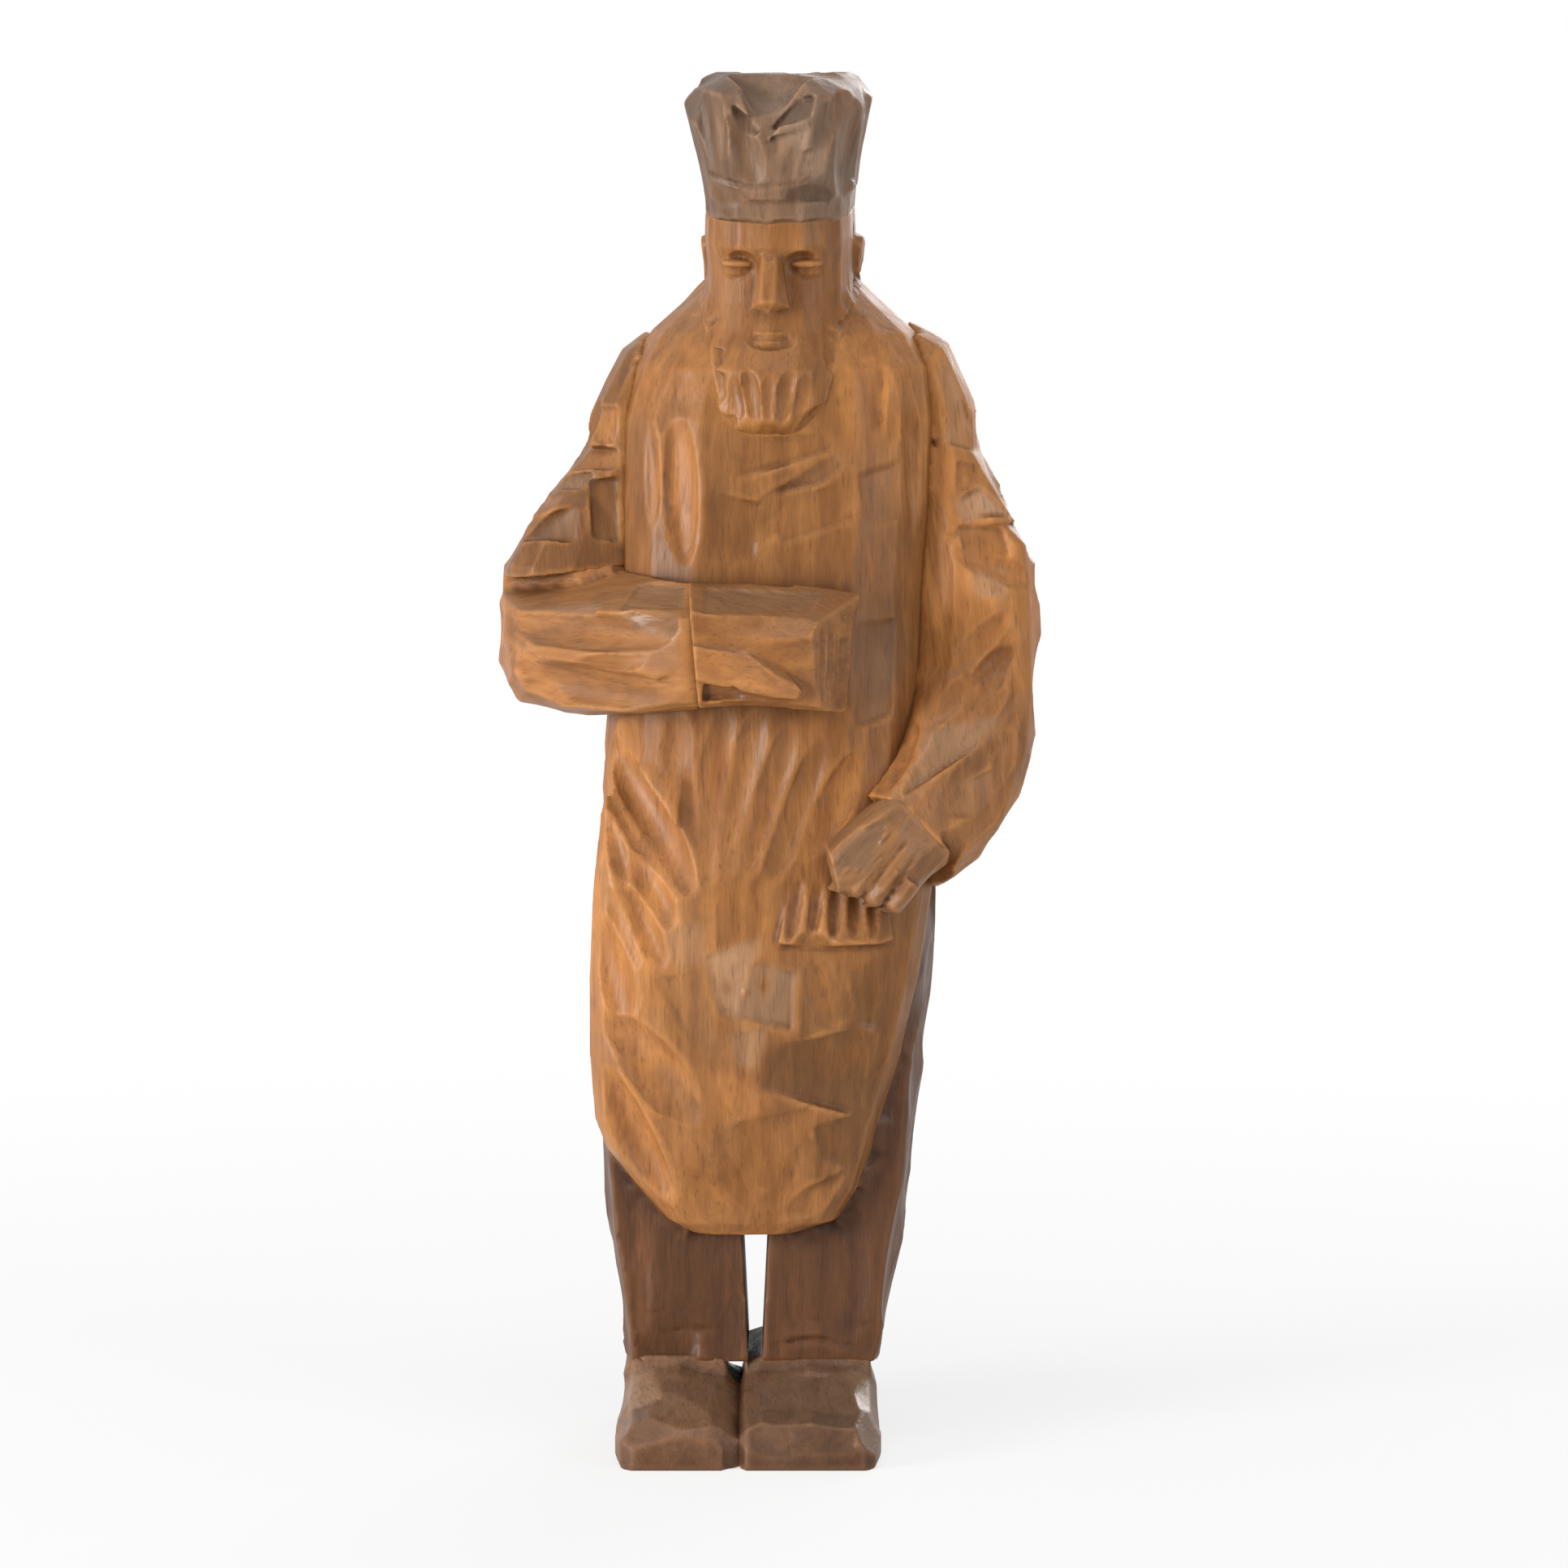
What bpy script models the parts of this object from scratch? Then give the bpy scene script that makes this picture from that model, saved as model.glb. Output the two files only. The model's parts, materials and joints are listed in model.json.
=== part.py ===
"""Carved wooden figure of a standing man in a cap, smock, apron and clogs.

The figure is built from separate blanks that are glued and dowelled together.
Sizes are in millimetres here and become metres when each piece is made.
The figure faces -Y and stands on the soles of its shoes at z = 0.
"""

import math
from collections import namedtuple

import bmesh
import bpy
from mathutils import Matrix, Vector
from mathutils.bvhtree import BVHTree

MM = 0.001

# Heights of the main parts of the figure
FIGURE_TOP_Z = 185.4
BRIM_Z = 167.2
SHOULDER_Z = 146.0
ELBOW_Z = 118.5
FOREARM_Z = 109.4
HIP_Z = 76.0
GATHER_Z = 69.8
HEM_Z = 29.6
ANKLE_Z = 11.4

# Middle lines and joint faces
HEAD_X = 1.6
HEAD_BOW = math.radians(7.0)
HEAD_TURN = math.radians(-6.0)
LEG_GAP_X = -1.8
APRON_BACK_Y = -7.0
WRIST_X = -10.0
SHOE_SPLIT_X = -4.5
FLAP_POINT = Vector((-0.6, -13.2, 175.6))

# Glue gaps, dowels and facets
GAP = 0.3
DOWEL_R = 2.2
THIN_DOWEL_R = 1.7
DOWEL_SIDES = 12
BODY_SIDES = 18
LIMB_SIDES = 12
UPPER_ARM_SIDES = 14
GOUGE_SIDES = 16
GOUGE_RINGS = 10

# Planes cut on the forearm's top, the fist's top and the finger ends: a point and the way out
FOREARM_PLANES = (
    ((-30.4, -14.3, 112.6), (-0.30, -0.27, 0.92)),
    ((-12.0, -25.5, 113.6), (-0.10, -0.36, 0.93)),
)
FIST_PLANES = (
    ((-2.0, -26.7, 113.8), (0.12, -0.36, 0.93)),
    ((6.0, -26.5, 108.0), (0.85, -0.52, 0.05)),
)

# Fingers of the flat hand: where they spring from, then each one's place across the hand and length
FINGER_ROOT = Vector((15.6, -17.0, 81.2))
FINGERS = ((-3.4, 6.2), (-0.7, 6.4), (2.0, 5.8), (4.6, 4.8))

# A level is one horizontal outline of an upright piece
Level = namedtuple("Level", "z left right front back square")
# A slice is one outline of a limb across its own length
Slice = namedtuple("Slice", "x y z across deep")
# A chip is one hollow cut: sweep is the gouge's radius, dip its depth under the line of the cut
Chip = namedtuple("Chip", "start end out sweep dip")
# A stroke is a chip placed as seen from one side of the figure
Stroke = namedtuple("Stroke", "u0 z0 u1 z1 wide deep")

for old in list(bpy.data.objects):
    bpy.data.objects.remove(old)

PARTS = bpy.data.collections.new("carved_wooden_figure")
CUTTERS = bpy.data.collections.new("cutters")
bpy.context.scene.collection.children.link(PARTS)
bpy.context.scene.collection.children.link(CUTTERS)


def wood(name, colour, roughness):
    """Plain Principled wood for one stain."""
    material = bpy.data.materials.new(name)
    material.use_nodes = True
    shader = material.node_tree.nodes["Principled BSDF"]
    shader.inputs["Base Color"].default_value = (*colour, 1.0)
    shader.inputs["Roughness"].default_value = roughness
    material.diffuse_color = (*colour, 1.0)
    return material


HONEY = wood("honey_wood", (0.36, 0.17, 0.07), 0.5)
GREY = wood("grey_brown_wood", (0.22, 0.13, 0.075), 0.5)
DARK = wood("dark_brown_wood", (0.13, 0.06, 0.03), 0.5)
BIRCH = wood("dowel_wood", (0.62, 0.44, 0.25), 0.6)


def outline(sides, square):
    """Unit outline, counter-clockwise; square 2 is an ellipse, more is boxier."""
    points = []
    for k in range(sides):
        angle = math.tau * (k + 0.5) / sides
        c = math.cos(angle)
        s = math.sin(angle)
        u = math.copysign(abs(c) ** (2.0 / square), c)
        v = math.copysign(abs(s) ** (2.0 / square), s)
        points.append((u, v))
    return points


def loft(rings):
    """Closed mesh through rings of equal point count, flat at both ends."""
    bm = bmesh.new()
    loops = [[bm.verts.new(p) for p in ring] for ring in rings]
    count = len(loops[0])
    for low, high in zip(loops, loops[1:]):
        for k in range(count):
            n = (k + 1) % count
            bm.faces.new((low[k], low[n], high[n], high[k]))
    bm.faces.new(list(reversed(loops[0])))
    bm.faces.new(loops[-1])
    bmesh.ops.recalc_face_normals(bm, faces=bm.faces)
    return bm


def upright(levels, sides=BODY_SIDES):
    """Loft through horizontal outlines given by their four extents."""
    rings = []
    for level in levels:
        cx = (level.left + level.right) / 2
        cy = (level.front + level.back) / 2
        half_x = (level.right - level.left) / 2
        half_y = (level.back - level.front) / 2
        ring = outline(sides, level.square)
        rings.append([Vector((cx + u * half_x, cy + v * half_y, level.z)) for u, v in ring])
    return loft(rings)


def limb(slices, side_axis, square=2.6, sides=LIMB_SIDES):
    """Loft along the path of the slice middles; deep is measured near side_axis."""
    middles = [Vector((s.x, s.y, s.z)) for s in slices]
    rings = []
    for k, s in enumerate(slices):
        before = middles[max(k - 1, 0)]
        after = middles[min(k + 1, len(middles) - 1)]
        along = (after - before).normalized()
        across = along.cross(Vector(side_axis)).normalized()
        deep = across.cross(along).normalized()
        ring = outline(sides, square)
        rings.append([middles[k] + across * (u * s.across) + deep * (v * s.deep) for u, v in ring])
    return loft(rings)


def knife(bm, point, normal):
    """Flat cut: takes away what lies beyond the plane and closes the face."""
    geom = bm.verts[:] + bm.edges[:] + bm.faces[:]
    bmesh.ops.bisect_plane(
        bm, geom=geom, dist=0.0001, plane_co=point, plane_no=normal, clear_outer=True
    )
    rim = [edge for edge in bm.edges if edge.is_boundary]
    bmesh.ops.edgeloop_fill(bm, edges=rim)
    bmesh.ops.recalc_face_normals(bm, faces=bm.faces)


def hull(points):
    """Smallest flat-sided solid around a few points."""
    bm = bmesh.new()
    for p in points:
        bm.verts.new(p)
    bmesh.ops.convex_hull(bm, input=bm.verts)
    bmesh.ops.recalc_face_normals(bm, faces=bm.faces)
    return bm


def rod(start, end, radius, chamfer=0.0):
    """Round rod from start to end with chamfered ends."""
    start = Vector(start)
    end = Vector(end)
    along = (end - start).normalized()
    turn = along.to_track_quat("Z", "X").to_matrix()
    length = (end - start).length
    stops = [(0.0, radius - chamfer), (length, radius - chamfer)]
    if chamfer > 0:
        stops[1:1] = [(chamfer, radius), (length - chamfer, radius)]
    rings = []
    for height, r in stops:
        ring = outline(DOWEL_SIDES, 2.0)
        rings.append([start + turn @ Vector((u * r, v * r, height)) for u, v in ring])
    return loft(rings)


def add_object(name, bm, collection, material=None):
    """Puts a millimetre mesh into the scene in metres."""
    mesh = bpy.data.meshes.new(name)
    bm.transform(Matrix.Scale(MM, 4))
    bm.to_mesh(mesh)
    bm.free()
    if material:
        mesh.materials.append(material)
    obj = bpy.data.objects.new(name, mesh)
    collection.objects.link(obj)
    return obj


def piece(name, bm, material):
    """One separate piece of the figure."""
    return add_object(name, bm, PARTS, material)


def cutter(name, bm):
    """Hidden helper solid for a Boolean."""
    obj = add_object(name, bm, CUTTERS)
    obj.hide_render = True
    obj.display_type = "WIRE"
    return obj


def boolean(obj, other, operation):
    """Adds an exact Boolean to a piece."""
    modifier = obj.modifiers.new(operation.lower(), "BOOLEAN")
    modifier.solver = "EXACT"
    modifier.operation = operation
    modifier.object = other


def combined(first, second, operation):
    """Boolean of two millimetre meshes as one new millimetre mesh."""
    a = cutter("first", first)
    b = cutter("second", second)
    boolean(a, b, operation)
    bm = evaluated(a)
    bpy.data.objects.remove(a)
    bpy.data.objects.remove(b)
    return bm


def joined(first, second):
    """Two overlapping meshes as one solid."""
    return combined(first, second, "UNION")


def evaluated(obj):
    """Millimetre mesh of an object with its modifiers."""
    bpy.context.view_layer.update()
    graph = bpy.context.evaluated_depsgraph_get()
    bm = bmesh.new()
    bm.from_mesh(obj.evaluated_get(graph).to_mesh())
    bm.transform(Matrix.Scale(1.0 / MM, 4))
    bmesh.ops.remove_doubles(bm, verts=bm.verts, dist=0.0001)
    return bm


def swollen(bm, gap):
    """Copy of a mesh grown outward by the glue gap."""
    grown = bm.copy()
    grown.normal_update()
    steps = []
    for v in grown.verts:
        steps.append(v.normal * (gap * min(v.calc_shell_factor(), 2.5)))
    for v, step in zip(grown.verts, steps):
        v.co += step
    return grown


def sweep_of(wide, deep):
    """Radius of the gouge that leaves a hollow of this width and depth."""
    return (wide ** 2 / 4 + deep ** 2) / (2 * deep)


def gouge_solid(chip):
    """Long ellipsoid that meets the surface at both ends of the chip."""
    start = Vector(chip.start)
    end = Vector(chip.end)
    along = (end - start).normalized()
    out = Vector(chip.out)
    out = (out - along * out.dot(along)).normalized()
    side = out.cross(along)
    height = chip.sweep - chip.dip
    reach = (end - start).length / 2 / math.sqrt(1 - (height / chip.sweep) ** 2)
    axes = Matrix((side * chip.sweep, out * chip.sweep, along * reach)).transposed().to_4x4()
    axes.translation = (start + end) / 2 + out * height
    bm = bmesh.new()
    bmesh.ops.create_uvsphere(
        bm, u_segments=GOUGE_SIDES, v_segments=GOUGE_RINGS, radius=1.0, matrix=axes
    )
    bmesh.ops.recalc_face_normals(bm, faces=bm.faces)
    return bm


# Directions from which strokes are placed: how u runs, and the way to look
SIDES = {
    "front": (Vector((1, 0, 0)), Vector((0, 1, 0))),
    "back": (Vector((1, 0, 0)), Vector((0, -1, 0))),
    "left": (Vector((0, 1, 0)), Vector((-1, 0, 0))),
    "right": (Vector((0, 1, 0)), Vector((1, 0, 0))),
}


def carve(obj, side, strokes):
    """Gouges hollow chips out of a piece, placed as seen from one side."""
    across, look = SIDES[side]
    bm = evaluated(obj)
    tree = BVHTree.FromBMesh(bm)
    bm.free()

    def surface(u, z):
        eye = across * u + Vector((0, 0, z)) - look * 100
        return tree.ray_cast(eye, look)

    for number, stroke in enumerate(strokes):
        start = surface(stroke.u0, stroke.z0)[0]
        end = surface(stroke.u1, stroke.z1)[0]
        middle, facing = surface((stroke.u0 + stroke.u1) / 2, (stroke.z0 + stroke.z1) / 2)[:2]
        bulge = (middle - (start + end) / 2).dot(facing)
        dip = max(stroke.deep - bulge, 0.15)
        chip = Chip(start, end, facing, sweep_of(stroke.wide, stroke.deep), dip)
        tool = cutter(f"{obj.name}_{side}_chip_{number}", gouge_solid(chip))
        boolean(obj, tool, "DIFFERENCE")


def dowel_joint(name, middle, along, radius, depth_a, depth_b, holders):
    """Dowel across a glue face, with a blind hole for it in each holder."""
    middle = Vector(middle)
    along = Vector(along).normalized()
    start = middle - along * depth_a
    end = middle + along * depth_b
    piece(name, rod(start, end, radius, 0.4), BIRCH)
    hole = rod(start - along * GAP, end + along * GAP, radius + GAP)
    tool = cutter(name + "_hole", hole)
    for holder in holders:
        boolean(holder, tool, "DIFFERENCE")


def ball(middle, radii, sides=12, rings=8):
    """Ellipsoid, used for eyelids and lips."""
    bm = bmesh.new()
    place = Matrix.Translation(middle) @ Matrix.Diagonal((*radii, 1))
    bmesh.ops.create_uvsphere(bm, u_segments=sides, v_segments=rings, radius=1.0, matrix=place)
    return bm


# Head with a short beard, ears, nose and a neck plug; the brow line is at z = 0
def head_mesh():
    def lv(z, half, front, back, square=2.5):
        return Level(z, -half, half, front, back, square)

    skull = upright(
        [
            lv(-27.0, 4.2, -17.4, -8.0, 2.6),
            lv(-24.5, 6.4, -18.6, -4.0, 2.6),
            lv(-19.5, 8.4, -17.0, 6.0, 2.6),
            lv(-15.0, 9.5, -13.8, 10.5),
            lv(-11.0, 9.8, -12.2, 12.5),
            lv(-7.0, 9.8, -11.6, 13.6),
            lv(-3.5, 10.0, -12.8, 14.0),
            lv(0.0, 9.9, -12.2, 14.0),
            lv(4.0, 9.2, -10.0, 13.0),
        ]
    )
    neck = upright(
        [
            lv(-26.0, 6.5, -4.0, 10.0),
            lv(-18.0, 7.4, -6.0, 12.0),
            lv(-10.0, 8.2, -6.0, 12.2),
        ]
    )
    nose = hull(
        [
            (-1.1, -11.5, -3.4),
            (1.1, -11.5, -3.4),
            (-1.0, -13.6, -5.2),
            (1.0, -13.6, -5.2),
            (-1.0, -16.6, -10.2),
            (1.0, -16.6, -10.2),
            (-2.6, -13.4, -11.4),
            (2.6, -13.4, -11.4),
            (-1.9, -10.0, -11.8),
            (1.9, -10.0, -11.8),
            (0.0, -16.0, -11.8),
        ]
    )
    shape = joined(skull, neck)
    for side in (-1, 1):
        ear = hull(
            [
                (side * 8.6, 1.2, -3.6),
                (side * 8.6, 5.6, -3.8),
                (side * 8.6, 5.0, -10.4),
                (side * 8.6, 1.8, -10.6),
                (side * 11.0, 1.6, -4.4),
                (side * 11.2, 5.0, -4.4),
                (side * 10.8, 4.6, -8.6),
                (side * 10.4, 1.9, -9.4),
            ]
        )
        shape = joined(shape, ear)
        socket = Chip(
            (side * 1.2, -12.8, -5.8), (side * 7.8, -10.4, -6.6), (side * 0.25, -1, 0),
            sweep_of(4.4, 1.6), 1.6,
        )
        cheek = Chip(
            (side * 3.1, -13.2, -11.2), (side * 6.4, -14.4, -18.0), (side * 0.5, -1, 0.2),
            sweep_of(2.2, 0.6), 0.6,
        )
        for chip in (socket, cheek):
            shape = combined(shape, gouge_solid(chip), "DIFFERENCE")
        shape = joined(shape, ball((side * 4.2, -9.7, -7.0), (2.3, 1.5, 1.0)))
        shape = joined(shape, ball((side * 4.2, -10.0, -5.9), (2.7, 1.7, 0.75)))
    shape = joined(shape, nose)
    mouth = Chip((-4.0, -14.2, -15.4), (4.0, -14.2, -15.4), (0, -1, 0.3), sweep_of(3.2, 1.1), 1.1)
    shape = combined(shape, gouge_solid(mouth), "DIFFERENCE")
    shape = joined(shape, ball((0, -12.7, -14.9), (3.1, 1.2, 0.55)))
    shape = joined(shape, ball((0, -13.0, -16.1), (2.6, 1.3, 0.6)))
    for u in (-5.6, -2.8, 0.0, 2.8, 5.6):
        top = (u, -17.2 + abs(u) * 0.28, -19.0)
        tip = (u * 0.62, -18.2 + abs(u) * 0.2, -26.6)
        lock = Chip(top, tip, (u * 0.07, -1, -0.05), sweep_of(2.4, 0.5), 0.6)
        shape = combined(shape, gouge_solid(lock), "DIFFERENCE")
    return shape


def head_place():
    """Turn and bow of the head and where its brow line sits."""
    bow = Matrix.Rotation(HEAD_BOW, 4, "X")
    turn = Matrix.Rotation(HEAD_TURN, 4, "Z")
    return Matrix.Translation((HEAD_X, 2.0, BRIM_Z)) @ turn @ bow


head_shape = head_mesh()
head_shape.transform(head_place())
brim_up = head_place().to_3x3() @ Vector((0, 0, 1))
brim_point = Vector((HEAD_X, 2.0, BRIM_Z))
knife(head_shape, brim_point, brim_up)

# Smock and apron: one blank from the collar down to the hem
smock = upright(
    [
        Level(HIP_Z, -23.3, 22.4, -14.6, 24.6, 3.0),
        Level(84.0, -23.0, 22.2, -14.4, 24.3, 3.0),
        Level(93.0, -22.6, 22.0, -13.8, 24.0, 3.0),
        Level(104.0, -21.6, 22.0, -12.8, 24.8, 3.0),
        Level(116.0, -21.0, 22.4, -11.8, 26.0, 3.0),
        Level(128.0, -21.0, 23.2, -11.0, 27.0, 3.0),
        Level(139.0, -20.6, 23.6, -10.4, 27.5, 2.9),
        Level(SHOULDER_Z, -18.6, 22.8, -9.4, 27.0, 2.7),
        Level(150.5, -16.0, 20.2, -7.4, 25.6, 2.5),
        Level(154.5, -11.5, 15.6, -3.8, 23.2, 2.4),
        Level(158.0, -8.4, 12.0, 0.0, 20.4, 2.3),
    ]
)
apron = upright(
    [
        Level(HEM_Z, -10.6, 4.4, -11.4, 3.0, 3.4),
        Level(31.2, -13.8, 9.6, -12.0, 4.0, 3.4),
        Level(35.5, -17.6, 12.4, -12.8, 5.0, 3.4),
        Level(41.0, -22.0, 14.3, -13.6, 6.0, 3.4),
        Level(45.0, -23.5, 15.3, -14.2, 6.6, 3.4),
        Level(54.0, -24.2, 18.2, -15.0, 7.0, 3.2),
        Level(64.0, -24.2, 20.4, -15.4, 7.0, 3.2),
        Level(HIP_Z, -23.7, 22.3, -15.3, 7.0, 3.2),
        Level(87.0, -22.6, 21.4, -14.6, 7.0, 3.0),
        Level(97.0, -20.5, 19.5, -11.8, 7.0, 3.0),
    ]
)
knife(apron, (0, APRON_BACK_Y, 0), (0, 1, 0))
gather = hull(
    [
        (1.4, -16.6, GATHER_Z),
        (8.0, -17.9, GATHER_Z - 0.2),
        (14.6, -17.0, GATHER_Z),
        (16.8, -14.6, GATHER_Z + 0.4),
        (1.4, -12.0, GATHER_Z - 1.0),
        (16.8, -10.0, GATHER_Z - 0.8),
        (3.4, -14.6, GATHER_Z + 9.6),
        (15.4, -13.6, GATHER_Z + 9.6),
        (3.4, -10.0, GATHER_Z + 9.6),
        (15.4, -9.0, GATHER_Z + 9.6),
    ]
)
torso = joined(smock, apron)
body_room = swollen(torso, GAP + 0.05)
gather_room = swollen(gather, GAP + 0.05)
body_shape = joined(torso, gather)

body = piece("body", body_shape, HONEY)
neck_socket = cutter("neck_socket", swollen(head_shape, GAP))
boolean(body, neck_socket, "DIFFERENCE")
head = piece("head", head_shape, HONEY)

# Cap: a band, then flaps turned up around the crown
def hat_mesh():
    def lv(z, half, front, back, square=2.7):
        return Level(z, -half, half, front, back, square)

    return upright(
        [
            lv(GAP, 9.9, -13.0, 14.4),
            lv(2.6, 10.1, -13.1, 14.8),
            lv(3.2, 10.8, -14.0, 15.5),
            lv(6.0, 11.0, -14.0, 15.8),
            lv(10.0, 11.6, -14.2, 16.4),
            lv(14.6, 12.5, -14.8, 17.3, 2.9),
            lv(16.8, 11.2, -13.4, 16.0, 2.9),
            lv(FIGURE_TOP_Z - BRIM_Z + 0.6, 6.6, -10.2, 12.6, 2.9),
        ]
    )


hat_shape = hat_mesh()
hat_shape.transform(head_place())
knife(hat_shape, (0, 0, FIGURE_TOP_Z), (0, 0, 1))
hat = piece("hat", hat_shape, GREY)

# Right arm: upper sleeve, forearm across the belly and closed hand
upper = upright(
    [
        Level(ELBOW_Z - 4.0, -36.0, -17.0, -5.8, 19.2, 2.8),
        Level(119.2, -36.0, -16.5, -5.4, 19.6, 2.8),
        Level(121.6, -34.7, -16.0, -5.0, 19.8, 2.8),
        Level(124.6, -32.9, -15.5, -4.6, 20.2, 2.8),
        Level(127.0, -32.9, -15.0, -4.2, 20.4, 2.8),
        Level(128.8, -29.5, -15.0, -3.4, 20.6, 2.8),
        Level(131.8, -27.8, -14.0, -3.0, 21.0, 2.8),
        Level(133.6, -25.6, -13.0, -2.6, 21.0, 2.8),
        Level(139.4, -24.1, -12.0, -2.0, 20.9, 2.7),
        Level(144.0, -22.0, -10.0, -0.6, 20.0, 2.6),
        Level(147.8, -20.0, -8.0, 1.2, 18.4, 2.5),
        Level(150.4, -16.6, -7.0, 3.4, 16.4, 2.4),
    ],
    UPPER_ARM_SIDES,
)
elbow_up = Vector((-0.12, 0.0, 1.0)).normalized()
elbow_point = Vector((-27.0, 6.0, ELBOW_Z))
knife(upper, elbow_point, -elbow_up)
right_upper_arm = piece("right_upper_arm", upper, HONEY)

fore = limb(
    [
        Slice(-27.8, 17.0, FOREARM_Z + 0.6, 6.4, 8.6),
        Slice(-28.2, 11.0, FOREARM_Z + 0.2, 8.6, 10.0),
        Slice(-27.4, 2.0, FOREARM_Z, 9.6, 10.4),
        Slice(-23.4, -8.0, FOREARM_Z, 9.4, 10.0),
        Slice(-16.5, -15.4, FOREARM_Z, 8.2, 9.2),
        Slice(-8.0, -19.4, FOREARM_Z, 7.0, 8.2),
    ],
    (0, 0, 1),
    square=3.0,
)
knife(fore, elbow_point - elbow_up * GAP, elbow_up)
for point, out in FOREARM_PLANES:
    knife(fore, point, out)
wrist_along = Vector((1.0, 0.0, 0.09)).normalized()
wrist_point = Vector((WRIST_X, -20.0, FOREARM_Z))
knife(fore, wrist_point, wrist_along)
right_forearm = piece("right_forearm", fore, HONEY)

fist_shape = limb(
    [
        Slice(-13.0, -19.3, 110.0, 7.0, 8.2),
        Slice(-5.0, -19.5, 110.1, 7.2, 8.2),
        Slice(3.0, -19.5, 110.0, 7.2, 8.2),
        Slice(7.0, -19.2, 109.4, 7.0, 8.4),
        Slice(11.6, -18.2, 108.6, 6.2, 8.0),
    ],
    (0, 0, 1),
    square=4.6,
)
for point, out in FIST_PLANES:
    knife(fist_shape, point, out)
thumb = hull(
    [
        (-12.0, -25.0, 111.4),
        (-12.0, -25.0, 106.0),
        (-11.0, -27.2, 110.8),
        (-11.0, -27.3, 106.4),
        (-3.0, -28.0, 109.2),
        (-3.0, -28.2, 105.2),
        (4.4, -28.6, 105.0),
        (3.9, -28.5, 103.2),
        (0.0, -25.0, 109.8),
        (5.0, -25.0, 103.8),
        (0.6, -25.0, 103.0),
    ]
)
fist_shape = joined(fist_shape, thumb)
knife(fist_shape, wrist_point + wrist_along * GAP, -wrist_along)
right_fist = piece("right_fist", fist_shape, HONEY)

# Left arm: one bent sleeve and a flat hand on the apron
sleeve = limb(
    [
        Slice(14.6, 9.5, 149.8, 4.0, 7.6),
        Slice(20.0, 9.5, 146.0, 5.6, 10.0),
        Slice(22.2, 9.5, 138.5, 6.6, 11.4),
        Slice(22.8, 9.0, 132.8, 6.4, 11.6),
        Slice(24.2, 8.6, 129.4, 6.8, 11.7),
        Slice(25.4, 8.2, 126.0, 7.8, 12.0),
        Slice(26.6, 7.6, 122.4, 8.6, 12.1),
        Slice(26.4, 7.4, 121.2, 8.0, 11.6),
        Slice(27.6, 6.8, 119.8, 9.2, 12.1),
        Slice(28.0, 3.6, 103.0, 9.5, 11.8),
        Slice(26.2, -1.6, 93.4, 9.8, 11.0),
        Slice(22.6, -6.6, 86.8, 9.2, 10.0),
        Slice(16.8, -11.6, 81.8, 8.0, 8.8),
    ],
    (0, 1, 0),
)
cuff_along = Vector((-0.62, -0.42, -0.66)).normalized()
cuff_point = Vector((18.4, -10.0, 82.6))
knife(sleeve, cuff_point, cuff_along)
left_arm = piece("left_arm", sleeve, HONEY)

palm = limb(
    [
        Slice(21.0, -12.6, 85.4, 6.0, 5.2),
        Slice(16.5, -15.6, 82.4, 6.4, 4.8),
        Slice(12.0, -16.8, 80.8, 5.0, 4.3),
        Slice(8.4, -17.2, 79.8, 3.2, 3.4),
    ],
    (0, 1, 0),
    square=3.0,
)
finger_way = Vector((-0.62, -0.05, -0.78))
finger_side = Vector((0.78, 0.0, -0.62))
for offset, reach in FINGERS:
    root = FINGER_ROOT + finger_side * offset
    tip = root + finger_way * reach
    middles = [root, root.lerp(tip, 0.55), root.lerp(tip, 0.9), tip]
    widths = [(1.5, 3.8), (1.5, 3.9), (1.4, 3.4), (1.0, 2.4)]
    finger = limb([Slice(*m, a, d) for m, (a, d) in zip(middles, widths)], (0, 1, 0), 2.6, 10)
    palm = joined(palm, finger)
knife(palm, cuff_point + cuff_along * GAP, -cuff_along)
left_hand = piece("left_hand", palm, HONEY)

# Everything that lies on the smock and apron is scribed to it
body_tool = cutter("body_room", body_room)
for scribed in (right_upper_arm, right_forearm, right_fist, left_arm, left_hand):
    boolean(scribed, body_tool, "DIFFERENCE")
gather_tool = cutter("gather_room", gather_room)
for scribed in (left_arm, left_hand):
    boolean(scribed, gather_tool, "DIFFERENCE")

# Trousers: one blank, sawn apart between the legs
trouser_shape = upright(
    [
        Level(ANKLE_Z, -19.4, 15.4, -12.0, 16.6, 3.6),
        Level(13.6, -20.0, 16.2, -12.0, 17.6, 3.6),
        Level(18.0, -20.5, 17.0, -12.0, 18.0, 3.6),
        Level(HEM_Z, -22.1, 19.2, -12.0, 19.8, 3.4),
        Level(42.0, -23.4, 20.6, -12.0, 21.8, 3.2),
        Level(56.0, -23.4, 22.2, -12.0, 23.6, 3.2),
        Level(66.0, -23.4, 23.0, -12.0, 24.2, 3.2),
        Level(HIP_Z - GAP, -23.0, 23.2, -12.0, 24.4, 3.2),
    ]
)
knife(trouser_shape, (0, APRON_BACK_Y + GAP, 0), (0, -1, 0))
trousers = piece("trousers", trouser_shape, DARK)
slot_profile = [
    (LEG_GAP_X - 0.7, ANKLE_Z - 2),
    (LEG_GAP_X + 0.9, ANKLE_Z - 2),
    (LEG_GAP_X + 1.9, HEM_Z),
    (LEG_GAP_X + 1.3, HEM_Z + 12),
    (LEG_GAP_X, HEM_Z + 15),
    (LEG_GAP_X - 1.1, HEM_Z + 12),
    (LEG_GAP_X - 1.7, HEM_Z),
]
slot = hull([(x, y, z) for x, z in slot_profile for y in (-20.0, 40.0)])
boolean(trousers, cutter("leg_slot", slot), "DIFFERENCE")


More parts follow.
